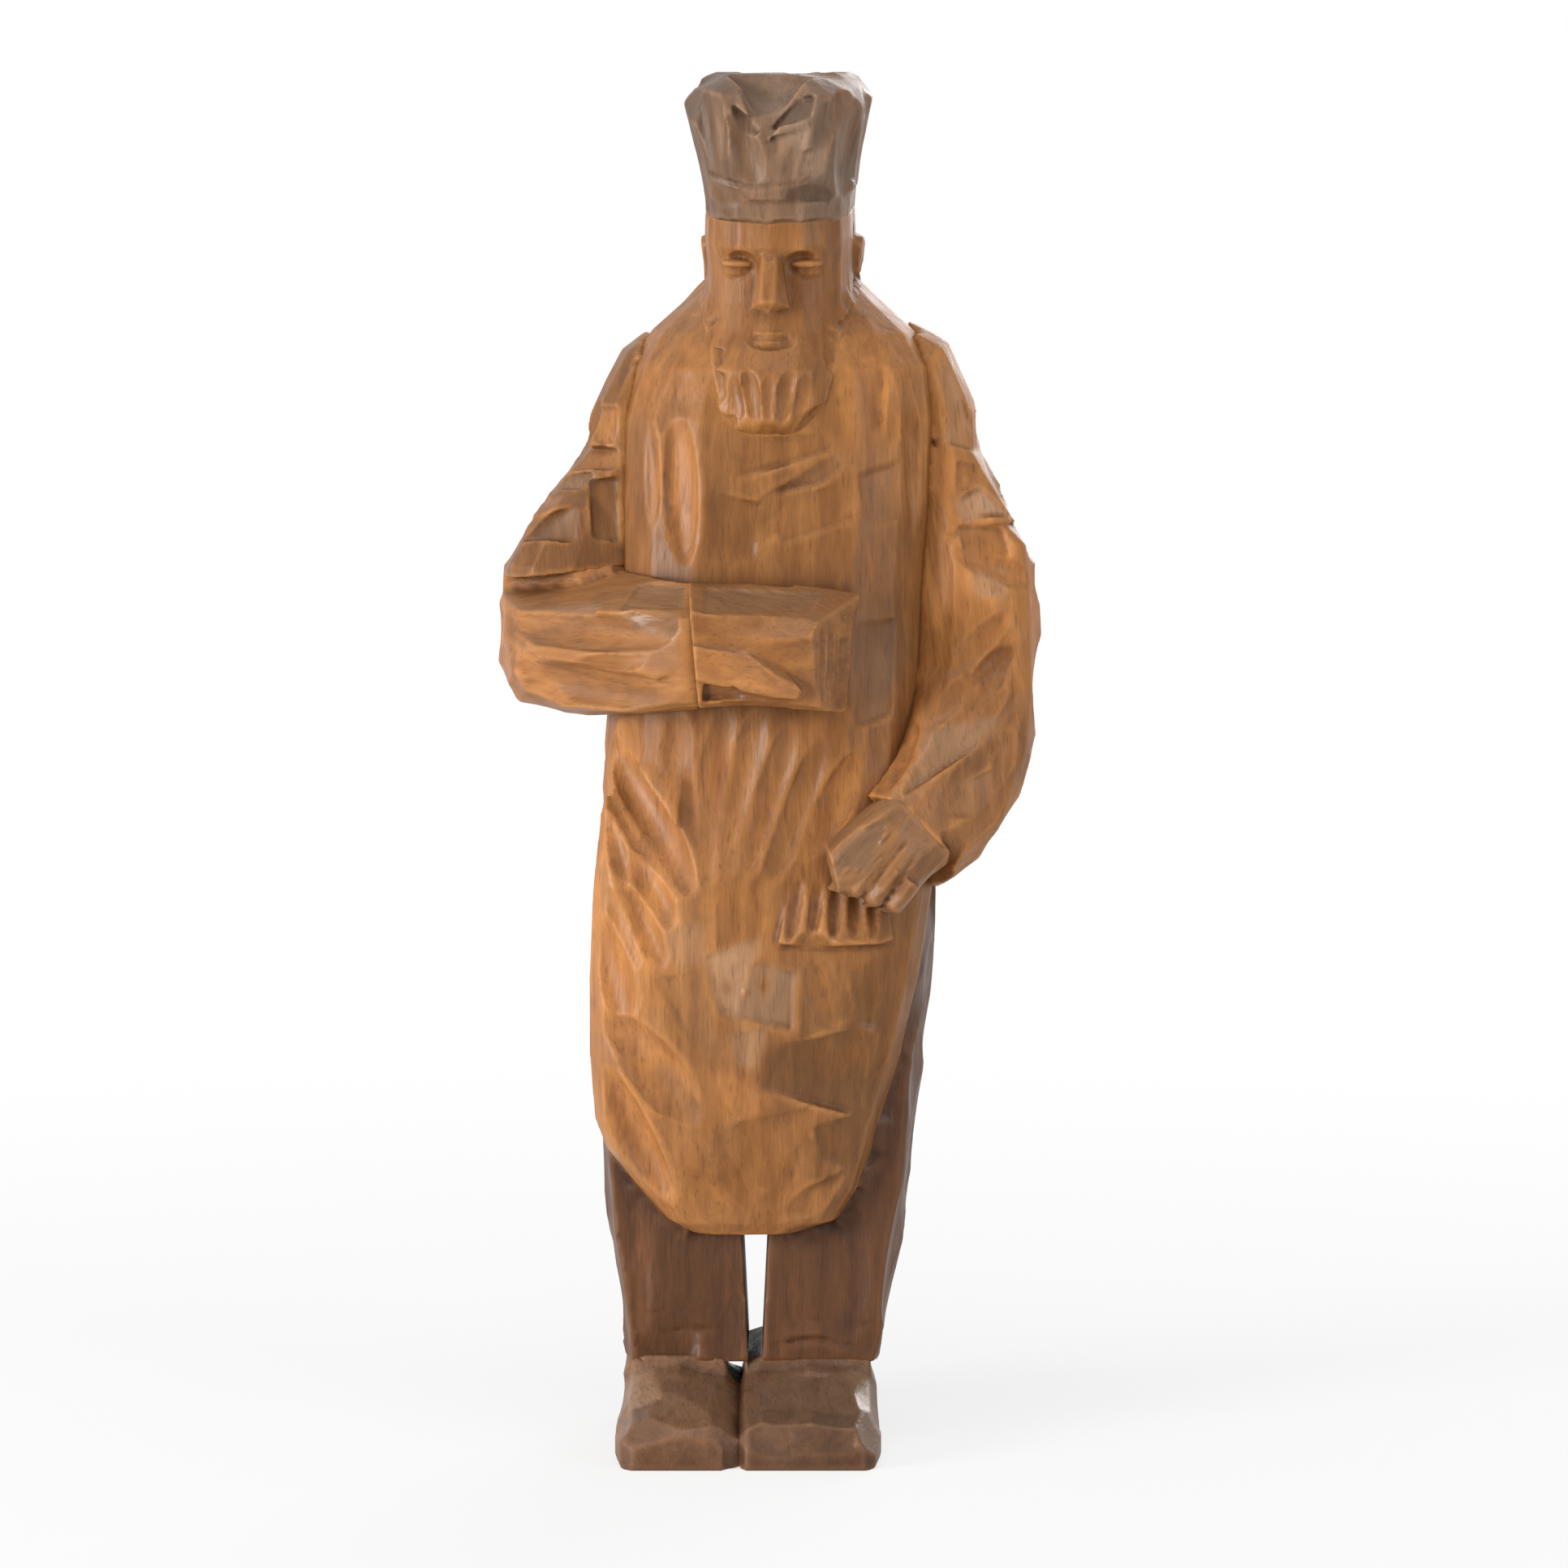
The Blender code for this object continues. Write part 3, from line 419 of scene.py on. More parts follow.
    def groove(self, points, wide, depth):
        """V cut that follows the surface along a line of points and runs out at both ends."""
        samples = []
        for a, b in zip(points, points[1:]):
            a, b = np.array(a), np.array(b)
            steps = max(2, int(np.linalg.norm(b - a) / self.GROOVE_STEP))
            samples += [a + (b - a) * k / steps for k in range(steps)]
        samples.append(np.array(points[-1]))
        spots = self.seen_along("camera", samples)
        if len(spots) < 4:
            return
        c = np.array([spot for spot, _ in spots])
        n = np.array([self.around(spot, self.PROBE, normal)[1] for spot, normal in spots])
        for _ in range(2):
            c[1:-1] = (c[:-2] + 2 * c[1:-1] + c[2:]) / 4
            n[1:-1] = (n[:-2] + 2 * n[1:-1] + n[2:]) / 4
        t = np.gradient(c, axis=0)
        bm = bmesh.new()
        rings = []
        for k in range(len(c)):
            f = k / (len(c) - 1)
            share = min(1.0, f / self.GROOVE_TAPER, (1 - f) / self.GROOVE_TAPER) ** 0.5
            share = max(share, self.GROOVE_END)
            up = unit(n[k])
            side = unit(np.cross(n[k], t[k])) * wide * (0.5 * share + self.GROOVE_SPREAD)
            brim = up * (self.BRIM + self.BRIM_SHARE * depth)
            section = (
                c[k] - up * depth * share,
                c[k] + side + brim,
                c[k] + up * (self.RIDGE + depth),
                c[k] - side + brim,
            )
            rings.append([bm.verts.new(Vector(p) * MM) for p in section])
        for lower, upper in zip(rings, rings[1:]):
            for k in range(4):
                bm.faces.new((lower[k], lower[(k + 1) % 4], upper[(k + 1) % 4], upper[k]))
        bm.faces.new(rings[0])
        bm.faces.new(reversed(rings[-1]))
        self.add_cutter(bm)

    def facets(self, table):
        """Takes every facet of a table."""
        for row in table:
            self.facet(*row)

    def cuts(self, table, look="camera"):
        """Takes every scoop of a table."""
        for row in table:
            self.cut(*row, look)

    def grooves(self, table):
        """Takes every line of a table."""
        for row in table:
            self.groove(*row)

    def carve(self, voxel):
        """Takes all the chips away and gives the result an even, fine mesh."""
        work = bpy.data.objects.new("work", self.mesh)
        SCENE.collection.objects.link(work)
        tools = bpy.data.collections.new("tools")
        SCENE.collection.children.link(tools)
        for mesh in self.cutters:
            tools.objects.link(bpy.data.objects.new("tool", mesh))
        take = work.modifiers.new("take", "BOOLEAN")
        take.operation = "DIFFERENCE"
        take.solver = "MANIFOLD"
        take.operand_type = "COLLECTION"
        take.collection = tools
        even = work.modifiers.new("even", "REMESH")
        even.mode = "VOXEL"
        even.voxel_size = voxel * MM
        dense = evaluated(work)
        for obj in [work, *tools.objects]:
            bpy.data.objects.remove(obj)
        bpy.data.collections.remove(tools)
        return dense

    def finish(self, material, voxel, meets=(), tone_and_painted_light=None):
        """Makes the carved object, set against its neighbours, with its marks for the colour, which
        carry painted light, shade and sheen.
        """
        mesh = self.carve(voxel)
        skin = Skin(mesh)
        for other in meets:
            skin.lean_on(other)
        skin.p += (skin.average(skin.p) - skin.p) * self.SOFTEN
        mesh.vertices.foreach_set("co", (skin.p * MM).astype(np.float32).ravel())
        tone, grey = skin.marks(self.lenses, self.floors)
        if tone_and_painted_light is not None:
            tone += tone_and_painted_light(skin.p)
        skin.store("hollow", skin.hollows())
        skin.store("tone", tone)
        skin.store("grey", grey)
        mesh.update()
        obj = bpy.data.objects.new(self.node + "_carved", mesh)
        SCENE.collection.objects.link(obj)
        if len(skin.tris) > self.TRIANGLE_LIMIT:
            thin = obj.modifiers.new("thin", "DECIMATE")
            thin.ratio = self.TRIANGLE_LIMIT / len(skin.tris)
            obj.data = evaluated(obj)
            obj.modifiers.clear()
            bpy.data.meshes.remove(mesh)
        obj.data.name = obj.name
        obj.data.shade_smooth()
        obj.data.materials.clear()
        obj.data.materials.append(material)
        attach(obj, "root")
        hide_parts(self.node)


class Skin:
    """Points, triangles and neighbours of a dense mesh, in millimetres."""

    LEAN_REACH = 1.8  # gap to a neighbour that is closed
    LEAN_DEPTH = 0.8  # how far into it the surface then goes
    LEAN_FACING = 0.15
    LEAN_RANGE = 0.35
    LEAN_BLUR = 6
    FINE_BLUR = 2
    BROAD_BLUR = 14
    FINE_GAIN = 13.0
    BROAD_GAIN = 8.0
    LENS_REACH = 0.22
    LENS_TOP = -0.3
    LEAST_SIZE = 1e-6
    FLOOR_MARGIN = 0.3
    FLOOR_REACH = 0.2
    MARK_BLUR = 10

    def __init__(self, mesh):
        self.mesh = mesh
        self.p, self.tris = surface(mesh)
        edges = np.empty(len(mesh.edges) * 2, np.int32)
        mesh.edges.foreach_get("vertices", edges)
        self.edges = edges.reshape(-1, 2)
        self.degree = np.bincount(edges, minlength=len(self.p)).astype(float)

    def normals(self):
        """Direction of the surface at each point."""
        a, b, c = (self.p[self.tris[:, k]] for k in range(3))
        face = np.cross(b - a, c - a)
        n = np.zeros_like(self.p)
        for k in range(3):
            for axis in range(3):
                n[:, axis] += np.bincount(self.tris[:, k], face[:, axis], len(self.p))
        return n / np.maximum(np.linalg.norm(n, axis=1, keepdims=True), TINY)

    def average(self, values):
        """Mean of each point's neighbours."""
        a, b = self.edges[:, 0], self.edges[:, 1]
        columns = values.reshape(len(values), -1)
        total = np.empty_like(columns)
        for k in range(columns.shape[1]):
            total[:, k] = np.bincount(a, columns[b, k], len(values))
            total[:, k] += np.bincount(b, columns[a, k], len(values))
        return (total / self.degree[:, None]).reshape(values.shape)

    def blurred(self, values, times):
        """Values spread over the neighbouring points."""
        for _ in range(times):
            values = 0.5 * values + 0.5 * self.average(values)
        return values

    def lean_on(self, node):
        """Moves the points that lie against a neighbour a little way into it, to leave no gap."""
        tree = search_tree(node)
        low, high = node_box(node)
        reach = self.LEAN_REACH
        n = self.normals()
        move = np.zeros_like(self.p)
        near = np.all((self.p > low - reach) & (self.p < high + reach), axis=1)
        for k in np.nonzero(near)[0]:
            place, normal, _, _ = tree.find_nearest(Vector(self.p[k]), reach)
            if place is None:
                continue
            facing = -float(np.dot(n[k], normal))
            weight = min(max((facing - self.LEAN_FACING) / self.LEAN_RANGE, 0.0), 1.0)
            goal = np.array(place) - np.array(normal) * self.LEAN_DEPTH
            move[k] = (goal - self.p[k]) * weight
        self.p += self.blurred(move, self.LEAN_BLUR)

    def hollows(self):
        """How hollow each place is, from -1 on a sharp edge to 1 in a deep groove."""
        bend = np.einsum("ij,ij->i", self.average(self.p) - self.p, self.normals())
        fine = self.blurred(bend, self.FINE_BLUR)
        broad = self.blurred(fine, self.BROAD_BLUR)
        return np.clip(fine * self.FINE_GAIN + broad * self.BROAD_GAIN, -1, 1)

    def marks(self, lenses, floors):
        """Tone, partly painted light and shade, and grey, a painted sheen and lower roughness, of the
        chip that each point lies on.
        """
        tone = np.zeros(len(self.p))
        grey = np.zeros(len(self.p))
        for middle, axes, value in lenses:
            local = (self.p - middle) @ axes.T
            size = np.maximum(np.linalg.norm(local, axis=1), self.LEAST_SIZE)
            off = np.abs(1 - 1 / size) * np.linalg.norm(self.p - middle, axis=1)
            tone[(off < self.LENS_REACH) & (local[:, 2] < self.LENS_TOP)] = value
        for rows, quads, value, painted_sheen_and_wax in floors:
            tree = BVHTree.FromPolygons(rows.tolist(), quads)
            low, high = rows.min(axis=0) - self.FLOOR_MARGIN, rows.max(axis=0) + self.FLOOR_MARGIN
            near = np.all((self.p > low) & (self.p < high), axis=1)
            for k in np.nonzero(near)[0]:
                if tree.find_nearest(Vector(self.p[k]), self.FLOOR_REACH)[0] is not None:
                    tone[k] = value
                    grey[k] = painted_sheen_and_wax
        return self.blurred(tone, self.MARK_BLUR), self.blurred(grey, self.MARK_BLUR)

    def store(self, name, values):
        """Keeps one value for each point in the mesh, for the material."""
        layer = self.mesh.attributes.new(name, "FLOAT", "POINT")
        layer.data.foreach_set("value", values.astype(np.float32))


# Where the planned cuts go. Places are in millimetres right of and above the middle of the camera's
# frame, tones run from -1, dark, to 1, light, and are partly the wood's own tone and partly painted
# light and shade, and greys run from 0, honey, to 1, greyer with painted sheen and waxed to a lower
# roughness.

# Facets: four corners, their depth or depths, the hollow of the floor, tone, grey
HAT = (
    (((-8.8, 96), (6.2, 96), (-1.8, 87.9), (-3.1, 87.9)), (0.5, 0.6, 1.6, 1.6), 0, 0, 0),
    (((1.8, 92.7), (4.2, 93.6), (3.7, 90.1), (-2.2, 88.1)), (1, 0.5, 0.2, 1.3), 0, -0.9, 0),
    (((-7.3, 92.5), (-4.4, 90.1), (-3.1, 87.9), (-5.9, 87.7)), (0.2, 0.6, 0.8, 0.1), 0, -0.4, 0),
    (((-2, 87.7), (3.7, 88.8), (2.2, 84.2), (-1.3, 83.7)), (0.5, 0, 0, 0.1), 0.1, 0.6, 0.3),
    (((2.6, 85.7), (5.7, 86.8), (5.5, 82.9), (1.5, 82)), (0.4, 0, 0, 0.3), 0.1, 0.4, 0.6),
    (((8.4, 86.6), (10.5, 89.7), (9.9, 81.3), (7, 82.6)), (0.4, 0, 0, 0.3), 0.2, -0.6, 0),
    (((-0.9, 81.1), (5.7, 82), (7, 79.3), (-0.9, 78.9)), 0.1, 0.1, -0.7, 0),
    (((-10.5, 82.4), (-2, 80.2), (-1.8, 78.9), (-9.9, 78.9)), (0, 0.1, 0.1, 0), 0, 0.35, 0),
)
CHEST = (
    (((-5.5, 46.8), (6.2, 47.5), (6.8, 45.1), (-6.8, 41.1)), (0, 0, 0.35, 0.3), 0.1, 0.15, 0),
    (((7.3, 45.1), (9.7, 43.5), (4, 40.4), (-2.2, 38.9)), (0, 0, 0.55, 0.5), 0.1, 0, 0.3),
    (((-2.2, 38.5), (9.2, 41.1), (9.7, 35.8), (-0.4, 32.3)), (0, 0, 0.35, 0.35), 0.1, 0.1, 0),
    (((-10.3, 39.8), (-2.9, 38), (-4, 30.3), (-11, 30.3)), (0, 0.4, 0.2, 0), 0.1, -0.2, 0),
    (((9.9, 42), (15.8, 44), (15.6, 35.8), (10.8, 34.7)), (0.3, 0.4, 0.1, 0), 0.1, -0.15, 0),
    (((9.5, 21.5), (15.2, 22.6), (14.7, 9.5), (9.9, 7.3)), (0, 0, 0.3, 0.3), 0.2, -0.4, 0.1),
)
APRON = (
    (((-15.8, -20.4), (-11.4, -18.7), (-10.8, -24), (-14.7, -25.3)), (0, 0.1, 0.1, 0), 0.05, 0.2, 0.6),
    (((-17.8, -26.4), (-11, -25.1), (-8.6, -37.1), (-11.9, -36.7)), (0.1, 0, 0, 0.1), 0.1, -0.15, 0.2),
    (((-11, -23.1), (-3.3, -21.3), (-6.4, -31.2), (-8.4, -31.2)), (0.4, 0, 0.1, 0.4), 0, 0.7, 1),
    (((-3.3, -24.6), (1.5, -25.3), (1.1, -33.6), (-6.8, -31.6)), (0, 0.4, 0.5, 0), 0, -0.25, 1),
    (((-7.3, -33.8), (-2.2, -33), (-4.2, -38.7), (-6.2, -37.6)), (0.2, 0.1, 0.1, 0.2), 0, 0.4, 0.8),
    (((-2.2, -35.6), (11.6, -32.5), (10.8, -45.1), (-3.1, -41.3)), (0.2, 0.1, 0.3, 0.4), 0.1, -0.7, 0),
    (((2, -25.7), (7.7, -24.2), (9.5, -31.2), (2.2, -34.7)), (0, 0, 0.1, 0.1), 0, -0.3, 0.1),
    (((8.8, -25.3), (13.8, -23.1), (13.2, -33.4), (9.9, -32.5)), (0.1, 0, 0, 0.1), 0, -0.5, 0),
    (((-11, -39.1), (-6.6, -39.3), (-1.3, -43.3), (-7.3, -45.5)), (0, 0, 0.1, 0.3), 0, 0.6, 0),
    (((-6.6, -45.9), (4.2, -43.7), (2, -55.4), (-9.9, -53.4)), (0.2, 0.1, 0, 0), 0.1, 0.05, 0),
    (((3.7, -46.4), (11.2, -44), (8.8, -52.1), (5.3, -51)), (0.1, 0, 0, 0.1), 0, -0.35, 0),
    (((2.6, -54.9), (9, -51.6), (4.6, -58.2), (-2, -58.9)), (0.1, 0, 0, 0.1), 0.1, 0.2, 0),
    (((-15.2, -51.9), (-9.5, -53.8), (-4.6, -58.9), (-12.5, -58.9)), (0, 0.1, 0.1, 0), 0.1, 0.25, 0),
    (((-18.7, -44.6), (-11.9, -46.2), (-8.8, -52.5), (-14.9, -50.3)), (0.1, 0.1, 0, 0), 0.1, 0.15, 0.1),
)
SLEEVE = (
    (((-25.7, 50.8), (-22, 51), (-22, 45.5), (-26.4, 46.2)), (0.4, 0.3, 0.2, 0.2), 0, 1, 0),
    (((-26.8, 45.5), (-22.4, 45.3), (-22.6, 42.4), (-28.8, 42.4)), (0.6, 0.5, 0.1, 0.1), 0, 0.8, 0.1),
    (((-29.2, 42), (-25.5, 42), (-27.3, 39.6), (-31.9, 39.3)), (0.6, 0.6, 0.1, 0.1), 0, 0.3, 0.9),
    (((-26.6, 41.3), (-22.4, 41.5), (-22.4, 32.7), (-25.9, 33.2)), (0.5, 0.4, 0.4, 0.3), 0.2, -0.7, 0),
    (((-33.2, 38.7), (-29.7, 38.9), (-31.2, 36.5), (-34.1, 35.8)), (0.4, 0.4, 0.1, 0.1), 0, 0.8, 0.2),
    (((-33.8, 35.2), (-26.8, 38), (-26.8, 32.3), (-36.5, 32.3)), (0.5, 0.5, 0.2, 0.2), 0.2, -0.15, 0),
)
FOREARM = (
    (((-36.5, 26.8), (-20.4, 27.5), (-25.1, 20.9), (-35.8, 21.8)), 0.2, 0.1, -0.05, 0.7),
    (((-19.8, 27), (-13.4, 27), (-13.6, 23.7), (-22.2, 23.5)), (0.3, 0.3, 0.2, 0.2), 0.1, 0, 1),
    (((-23.5, 23.1), (-13.6, 23.4), (-14.1, 19.6), (-24.2, 20.4)), (0.2, 0.1, 0.3, 0.3), 0.1, -0.2, 0.6),
    (((-20.9, 22.6), (-13.4, 23), (-13.2, 17.6), (-20.4, 18.5)), (0, 0.25, 0.25, 0), 0, 0.1, 0.2),
    (((-37.4, 20.9), (-24.4, 20), (-24.4, 17.6), (-34.7, 18.2)), (0.3, 0.3, 0.2, 0.2), 0.1, -0.3, 0.3),
    (((-38, 19.1), (-29.2, 17.6), (-27, 14.7), (-37.8, 15.4)), 0.2, 0.1, 0.8, 0),
    (((-37.4, 14.9), (-25.3, 14.3), (-24.4, 11.2), (-34.5, 11.2)), 0.2, 0.1, 0.7, 0),
    (((-28.8, 17.6), (-13.6, 18.7), (-18.2, 15.8), (-26.6, 14.7)), (0.2, 0.2, 0.3, 0.2), 0.1, 0.1, 0),
    (((-20, 11.6), (-19.8, 13.6), (-13.2, 16.3), (-12.7, 11.9)), (0.3, 0.2, 0.2, 0.2), 0.1, 0.5, 0),
)
FIST = (
    (((-10.8, 26.6), (5.3, 25.9), (3.7, 23.5), (-11, 23)), (0.2, 0.1, 0.3, 0.2), 0.1, -0.15, 0.8),
    (((-11.4, 22.4), (4.8, 22.9), (3.3, 19.1), (-11.9, 19.1)), 0.2, 0.1, 0.15, 0.1),
    (((-10.3, 18.2), (-5.5, 17.8), (1.8, 11.4), (-8.1, 14.3)), (0, 0, 0.1, 0.1), 0, 0.65, 0.1),
    (((-10.8, 13.4), (-6.6, 13.6), (-4.6, 11.6), (-11, 10.8)), (0.9, 0.8, 0.3, 0.9), 0, -0.9, 0),
    (((6.2, 20.4), (7, 20.4), (6.8, 12.7), (5.7, 12.7)), (0.4, 0.2, 0.2, 0.4), 0, -0.5, 0),
    (((7.7, 19.8), (8.8, 19.8), (8.8, 12.7), (7.5, 12.7)), (0.4, 0.2, 0.2, 0.4), 0, -0.5, 0),
)
LEFT_SLEEVE = (
    (((21.1, 58.9), (23.1, 55.4), (26.2, 44.6), (21.8, 45.9)), (0.3, 0, 0, 0.3), 0.2, 0, 0.5),
    (((23.3, 44), (26.4, 43.3), (26.4, 40.7), (23.1, 38.5)), (0.4, 0.4, 0, 0), 0, -0.35, 0),
    (((23.5, 38.5), (26.6, 40.4), (30.8, 36), (24, 35.8)), (0.4, 0.2, 0, 0), 0, 0.35, 0.9),
    (((23.3, 35.2), (29.7, 34.9), (30.8, 30.3), (24.6, 30.3)), (0.5, 0.3, 0, 0), 0, -0.4, 0),
    (((25.5, 28.8), (29.7, 29), (30.1, 25.1), (26.2, 25.5)), (0.3, 0.2, 0, 0.1), 0, 0.15, 0.8),
    (((20.4, 7.3), (28.8, 9), (26.4, 4.8), (15.6, -2)), (0, 0, 0.5, 0.4), 0.1, 0.05, 0.9),
    (((24.6, 3.3), (31.2, 7.5), (30.1, 4), (24.4, 0.4)), (0.5, 0.4, 0, 0), 0, -0.5, 0),
    (((23.5, -0.2), (29.7, 2.9), (28.6, -4.4), (21.3, -4.8)), (0.4, 0.3, 0, 0), 0.1, 0, 0.2),
    (((20.9, -5.5), (27.3, -5.1), (23.5, -10.8), (20.9, -11.2)), (0.4, 0.2, 0, 0.2), 0.1, 0.05, 0.1),
)
HAND = (
    (((8.1, -7.3), (14.3, -4.4), (11.9, -11.9), (7.3, -11.2)), 0.2, 0.1, -0.45, 0.7),
    (((7, -8.8), (10.5, -5.5), (11.2, -6.4), (7.7, -9.5)), (0.1, 0.1, 0.2, 0.2), 0, 0.5, 0.4),
)
TROUSERS = (
    (((-20.9, -58.7), (-18.2, -57.6), (-18.2, -74.1), (-20.7, -74.1)), 0.2, 0.1, 0.4, 0),
    (((-17.8, -58.7), (-12.5, -62), (-12.7, -73), (-17.6, -73)), 0.2, 0.1, -0.1, 0),
    (((-12.1, -62), (-7.3, -62), (-7.3, -73), (-12.1, -73)), 0.2, 0.1, -0.3, 0),
    (((-0.4, -62), (4.8, -61.3), (4.8, -74.1), (-0.4, -74.1)), 0.2, 0.1, 0.1, 0),
    (((5.3, -61.3), (11.4, -58.7), (10.3, -74.1), (5.3, -74.1)), 0.2, 0.1, -0.2, 0),
)
RIGHT_SHOE = (
    (((-21.1, -78.9), (-17.8, -78.9), (-16.6, -83.1), (-21.8, -84.8)), (0.3, 0.5, 0.4, 0.2), 0, 0.9, 1),
    (((-21.8, -85.5), (-10.8, -84.8), (-9, -91.2), (-22.2, -91.2)), 0.2, 0.1, 0.3, 0),
    (((-15.8, -77.8), (-7.7, -77.8), (-8.1, -83.5), (-15.8, -83.1)), (0.2, 0.2, 0.3, 0.3), 0.1, -0.7, 0),
)
LEFT_SHOE = (
    (((8.8, -79.6), (11.2, -79.6), (12.5, -84.6), (10.3, -84.8)), (0.3, 0.2, 0.2, 0.3), 0, 0.9, 0.8),
    (((-2.2, -80), (8.6, -80), (9.9, -85.1), (-4, -84.8)), 0.2, 0.1, 0, 0.6),
    (((-3.7, -86.8), (9.9, -86.8), (9.7, -91.2), (-4, -91.4)), 0.2, 0.1, -0.2, 0),
)

# Scoops: start, end, width, depth, sideways tilt in degrees, tone
HAT_SCOOPS = (
    ((-9.7, 94.5), (-8.1, 83.3), 3.4, 0.8, 6, 0.4),
    ((-5.9, 88.4), (-3.5, 81.3), 3.2, 0.5, -4, 0),
    ((8.8, 94.9), (5.7, 85.1), 3.8, 0.8, -4, 0.2),
)
BODY_SCOOPS = (
    ((-14.1, 49), (-13, 30.8), 4.4, 0.7, 8, 0.9),
    ((-18.2, 48.8), (-17.6, 34.3), 2.6, 0.6, 0, 0.65),
    ((13.2, 57.8), (12.7, 45.9), 1.8, 0.4, 8, 0.4),
    ((15.2, 54.5), (14.9, 44.6), 1.8, 0.4, 8, 0.35),
    ((17.1, 53.4), (17.6, 33.6), 2.2, 0.5, 8, 0.4),
    ((-20.7, 10.3), (-21.1, 1.3), 5.4, 0.6, 6, 0.45),
    ((-14.5, 9.5), (-14.7, 0.2), 4.6, 0.6, 0, 0.05),
    ((-22.2, 4.4), (-11.6, -14.5), 5, 1.3, 12, 0.8),
    ((-24, 0.4), (-14.3, -15.6), 3.6, 1.2, 12, 0.65),
    ((-24.4, -2.6), (-20.7, -14.7), 2.8, 1, 12, 0.7),
    ((-21.1, -8.6), (-14.9, -20.2), 3.8, 1.2, 12, 0.75),
    ((-21.8, -13.4), (-16.3, -25.1), 3.4, 1.1, 12, 0.6),
    ((-24.2, -13.4), (-19.3, -25.1), 3, 0.8, 4, -0.1),
    ((-24.5, -18), (-20.9, -31.9), 5, 1, 8, 0.5),
    ((-24.6, -30.1), (-11, -42.2), 5.2, 1.1, 12, 0.55),
    ((-22.2, -35.2), (-11.6, -46.8), 4.8, 0.8, -6, -0.15),
    ((-24.2, -37.8), (-14.9, -56.7), 4.4, 1.2, 12, 0.8),
    ((-24.6, -42.4), (-19.1, -53), 3.4, 0.7, 0, -0.25),
    ((-7.9, 9.9), (-10.5, -12.3), 4.8, 0.9, 0, 0.3),
    ((-3.1, 9.7), (-8.1, -11.2), 4.6, 0.9, 0, 0.2),
    ((1.2, 8.6), (-5.5, -11.9), 4.2, 0.9, 0, 0),
    ((5.5, 6.2), (-2.2, -13), 4.2, 0.9, 0, -0.25),
    ((11, 4.2), (1.5, -11.2), 4.8, 0.9, 6, 0.45),
    ((-13.3, 1.1), (-12.3, -11.2), 2.8, 0.7, 0, 0),
    ((4.8, -13), (3.5, -20.9), 1.5, 0.3, 0, 0.6),
    ((7.5, -13.4), (6.6, -20.9), 1.5, 0.3, 0, 0.5),
    ((2.2, -13.2), (0.7, -20.9), 1.5, 0.3, 0, 0.4),
    ((10.1, -14.7), (9.9, -20.9), 1.5, 0.3, 0, 0.5),
)
LEFT_SLEEVE_SCOOPS = (
    ((19.1, 54.5), (20.2, 40.2), 3, 0.5, 4, 0.25),
    ((20.7, 39.6), (21.8, 19.8), 4.4, 0.7, 6, 0.6),
    ((19.3, 20.4), (17.1, 10.3), 2.4, 0.5, 6, 0.4),
    ((30.8, 22.6), (22, 14.5), 3.4, 0.6, 8, 0.15),
    ((31, 18.5), (25.7, 13.6), 2.6, 0.6, 8, -0.25),
    ((27, 14.9), (19.6, 8.4), 3.2, 0.6, 8, 0.4),
    ((30.8, 12.5), (24.2, 5.9), 3.2, 0.6, 8, 0.05),
    ((18, 7.3), (14.7, -0.4), 2.6, 0.5, 4, 0.2),
    ((30.5, 8.4), (28.6, -2.6), 2.6, 0.4, -6, 0.2),
)

# Scoops seen straight from the side, in millimetres behind the middle and above the floor: broad
# ones that level the right sleeve, and folds on the left elbow
SLEEVE_SIDE = (
    ((8, 118), (4, 139), 7.5, 1.1, 0, 0),
    ((13, 119), (10, 138), 6, 0.8, 0, 0),
)
ELBOW_FOLDS = (
    ((0, 111), (13, 123), 6.5, 0.8, 0, 0.1),
    ((6, 101), (20, 112), 6.5, 0.8, 0, 0.1),
    ((-1, 119), (10, 130), 5.5, 0.6, 0, 0),
    ((4, 93), (17, 104), 5.5, 0.6, 0, 0),
)

# Lines: points, width, depth
HAT_LINES = (
    (((-11, 83.5), (-7.7, 81.5), (-4, 80.7), (2, 81.5), (5.3, 82.6)), 1.1, 0.45),
    (((-2.4, 87.9), (-2.2, 86.2), (-1.8, 84.4)), 1, 0.5),
)
BODY_LINES = (
    (((13.4, 57.8), (13.4, 51.2), (13, 45.9)), 0.9, 0.45),
    (((16, 54.5), (16, 44.6), (16.3, 34.7)), 0.9, 0.45),
    (((-17.8, 40.7), (-17.1, 36.9), (-17.8, 34.1)), 0.9, 0.5),
    (((-2, 38.9), (1, 39.8), (3.7, 40.4)), 0.8, 0.3),
)
LEFT_SLEEVE_LINES = (
    (((20.2, 46.8), (20.7, 46.2), (21.1, 45.5)), 1.6, 0.9),
    (((30.8, 21.3), (27.7, 18.7), (24.6, 16.3)), 0.9, 0.4),
    (((31.2, 18), (27.9, 15.6), (24.2, 13.2)), 0.9, 0.4),
)
HAND_LINES = (
    (((15.8, -5.3), (12.7, -9), (9.5, -13)), 1, 0.45),
    (((17.4, -6.8), (14.5, -10.5), (11.6, -14.3)), 1, 0.45),
    (((18.5, -8.6), (16.3, -11.9), (14.1, -14.9)), 1, 0.45),
    (((13.4, -4.2), (10.3, -7.9), (7, -11.6)), 0.9, 0.4),
)
TROUSER_LINES = (
    (((-18.7, -74.9), (-12.7, -73.7), (-7, -74.1)), 1.5, 0.7),
    (((-17.6, -76.7), (-12.7, -75.8), (-7, -76.4)), 1.3, 0.6),
    (((-2.4, -76.3), (4.4, -74.9), (11, -76.7)), 1.4, 0.6),
    (((-2, -65.3), (2.6, -66.6), (7.7, -65.9)), 1.2, 0.35),
    (((11, -54.5), (8.1, -56), (7, -57.6)), 1.6, 0.8),
    (((10.8, -57.1), (8.1, -58), (5.9, -58.7)), 1.2, 0.5),
)

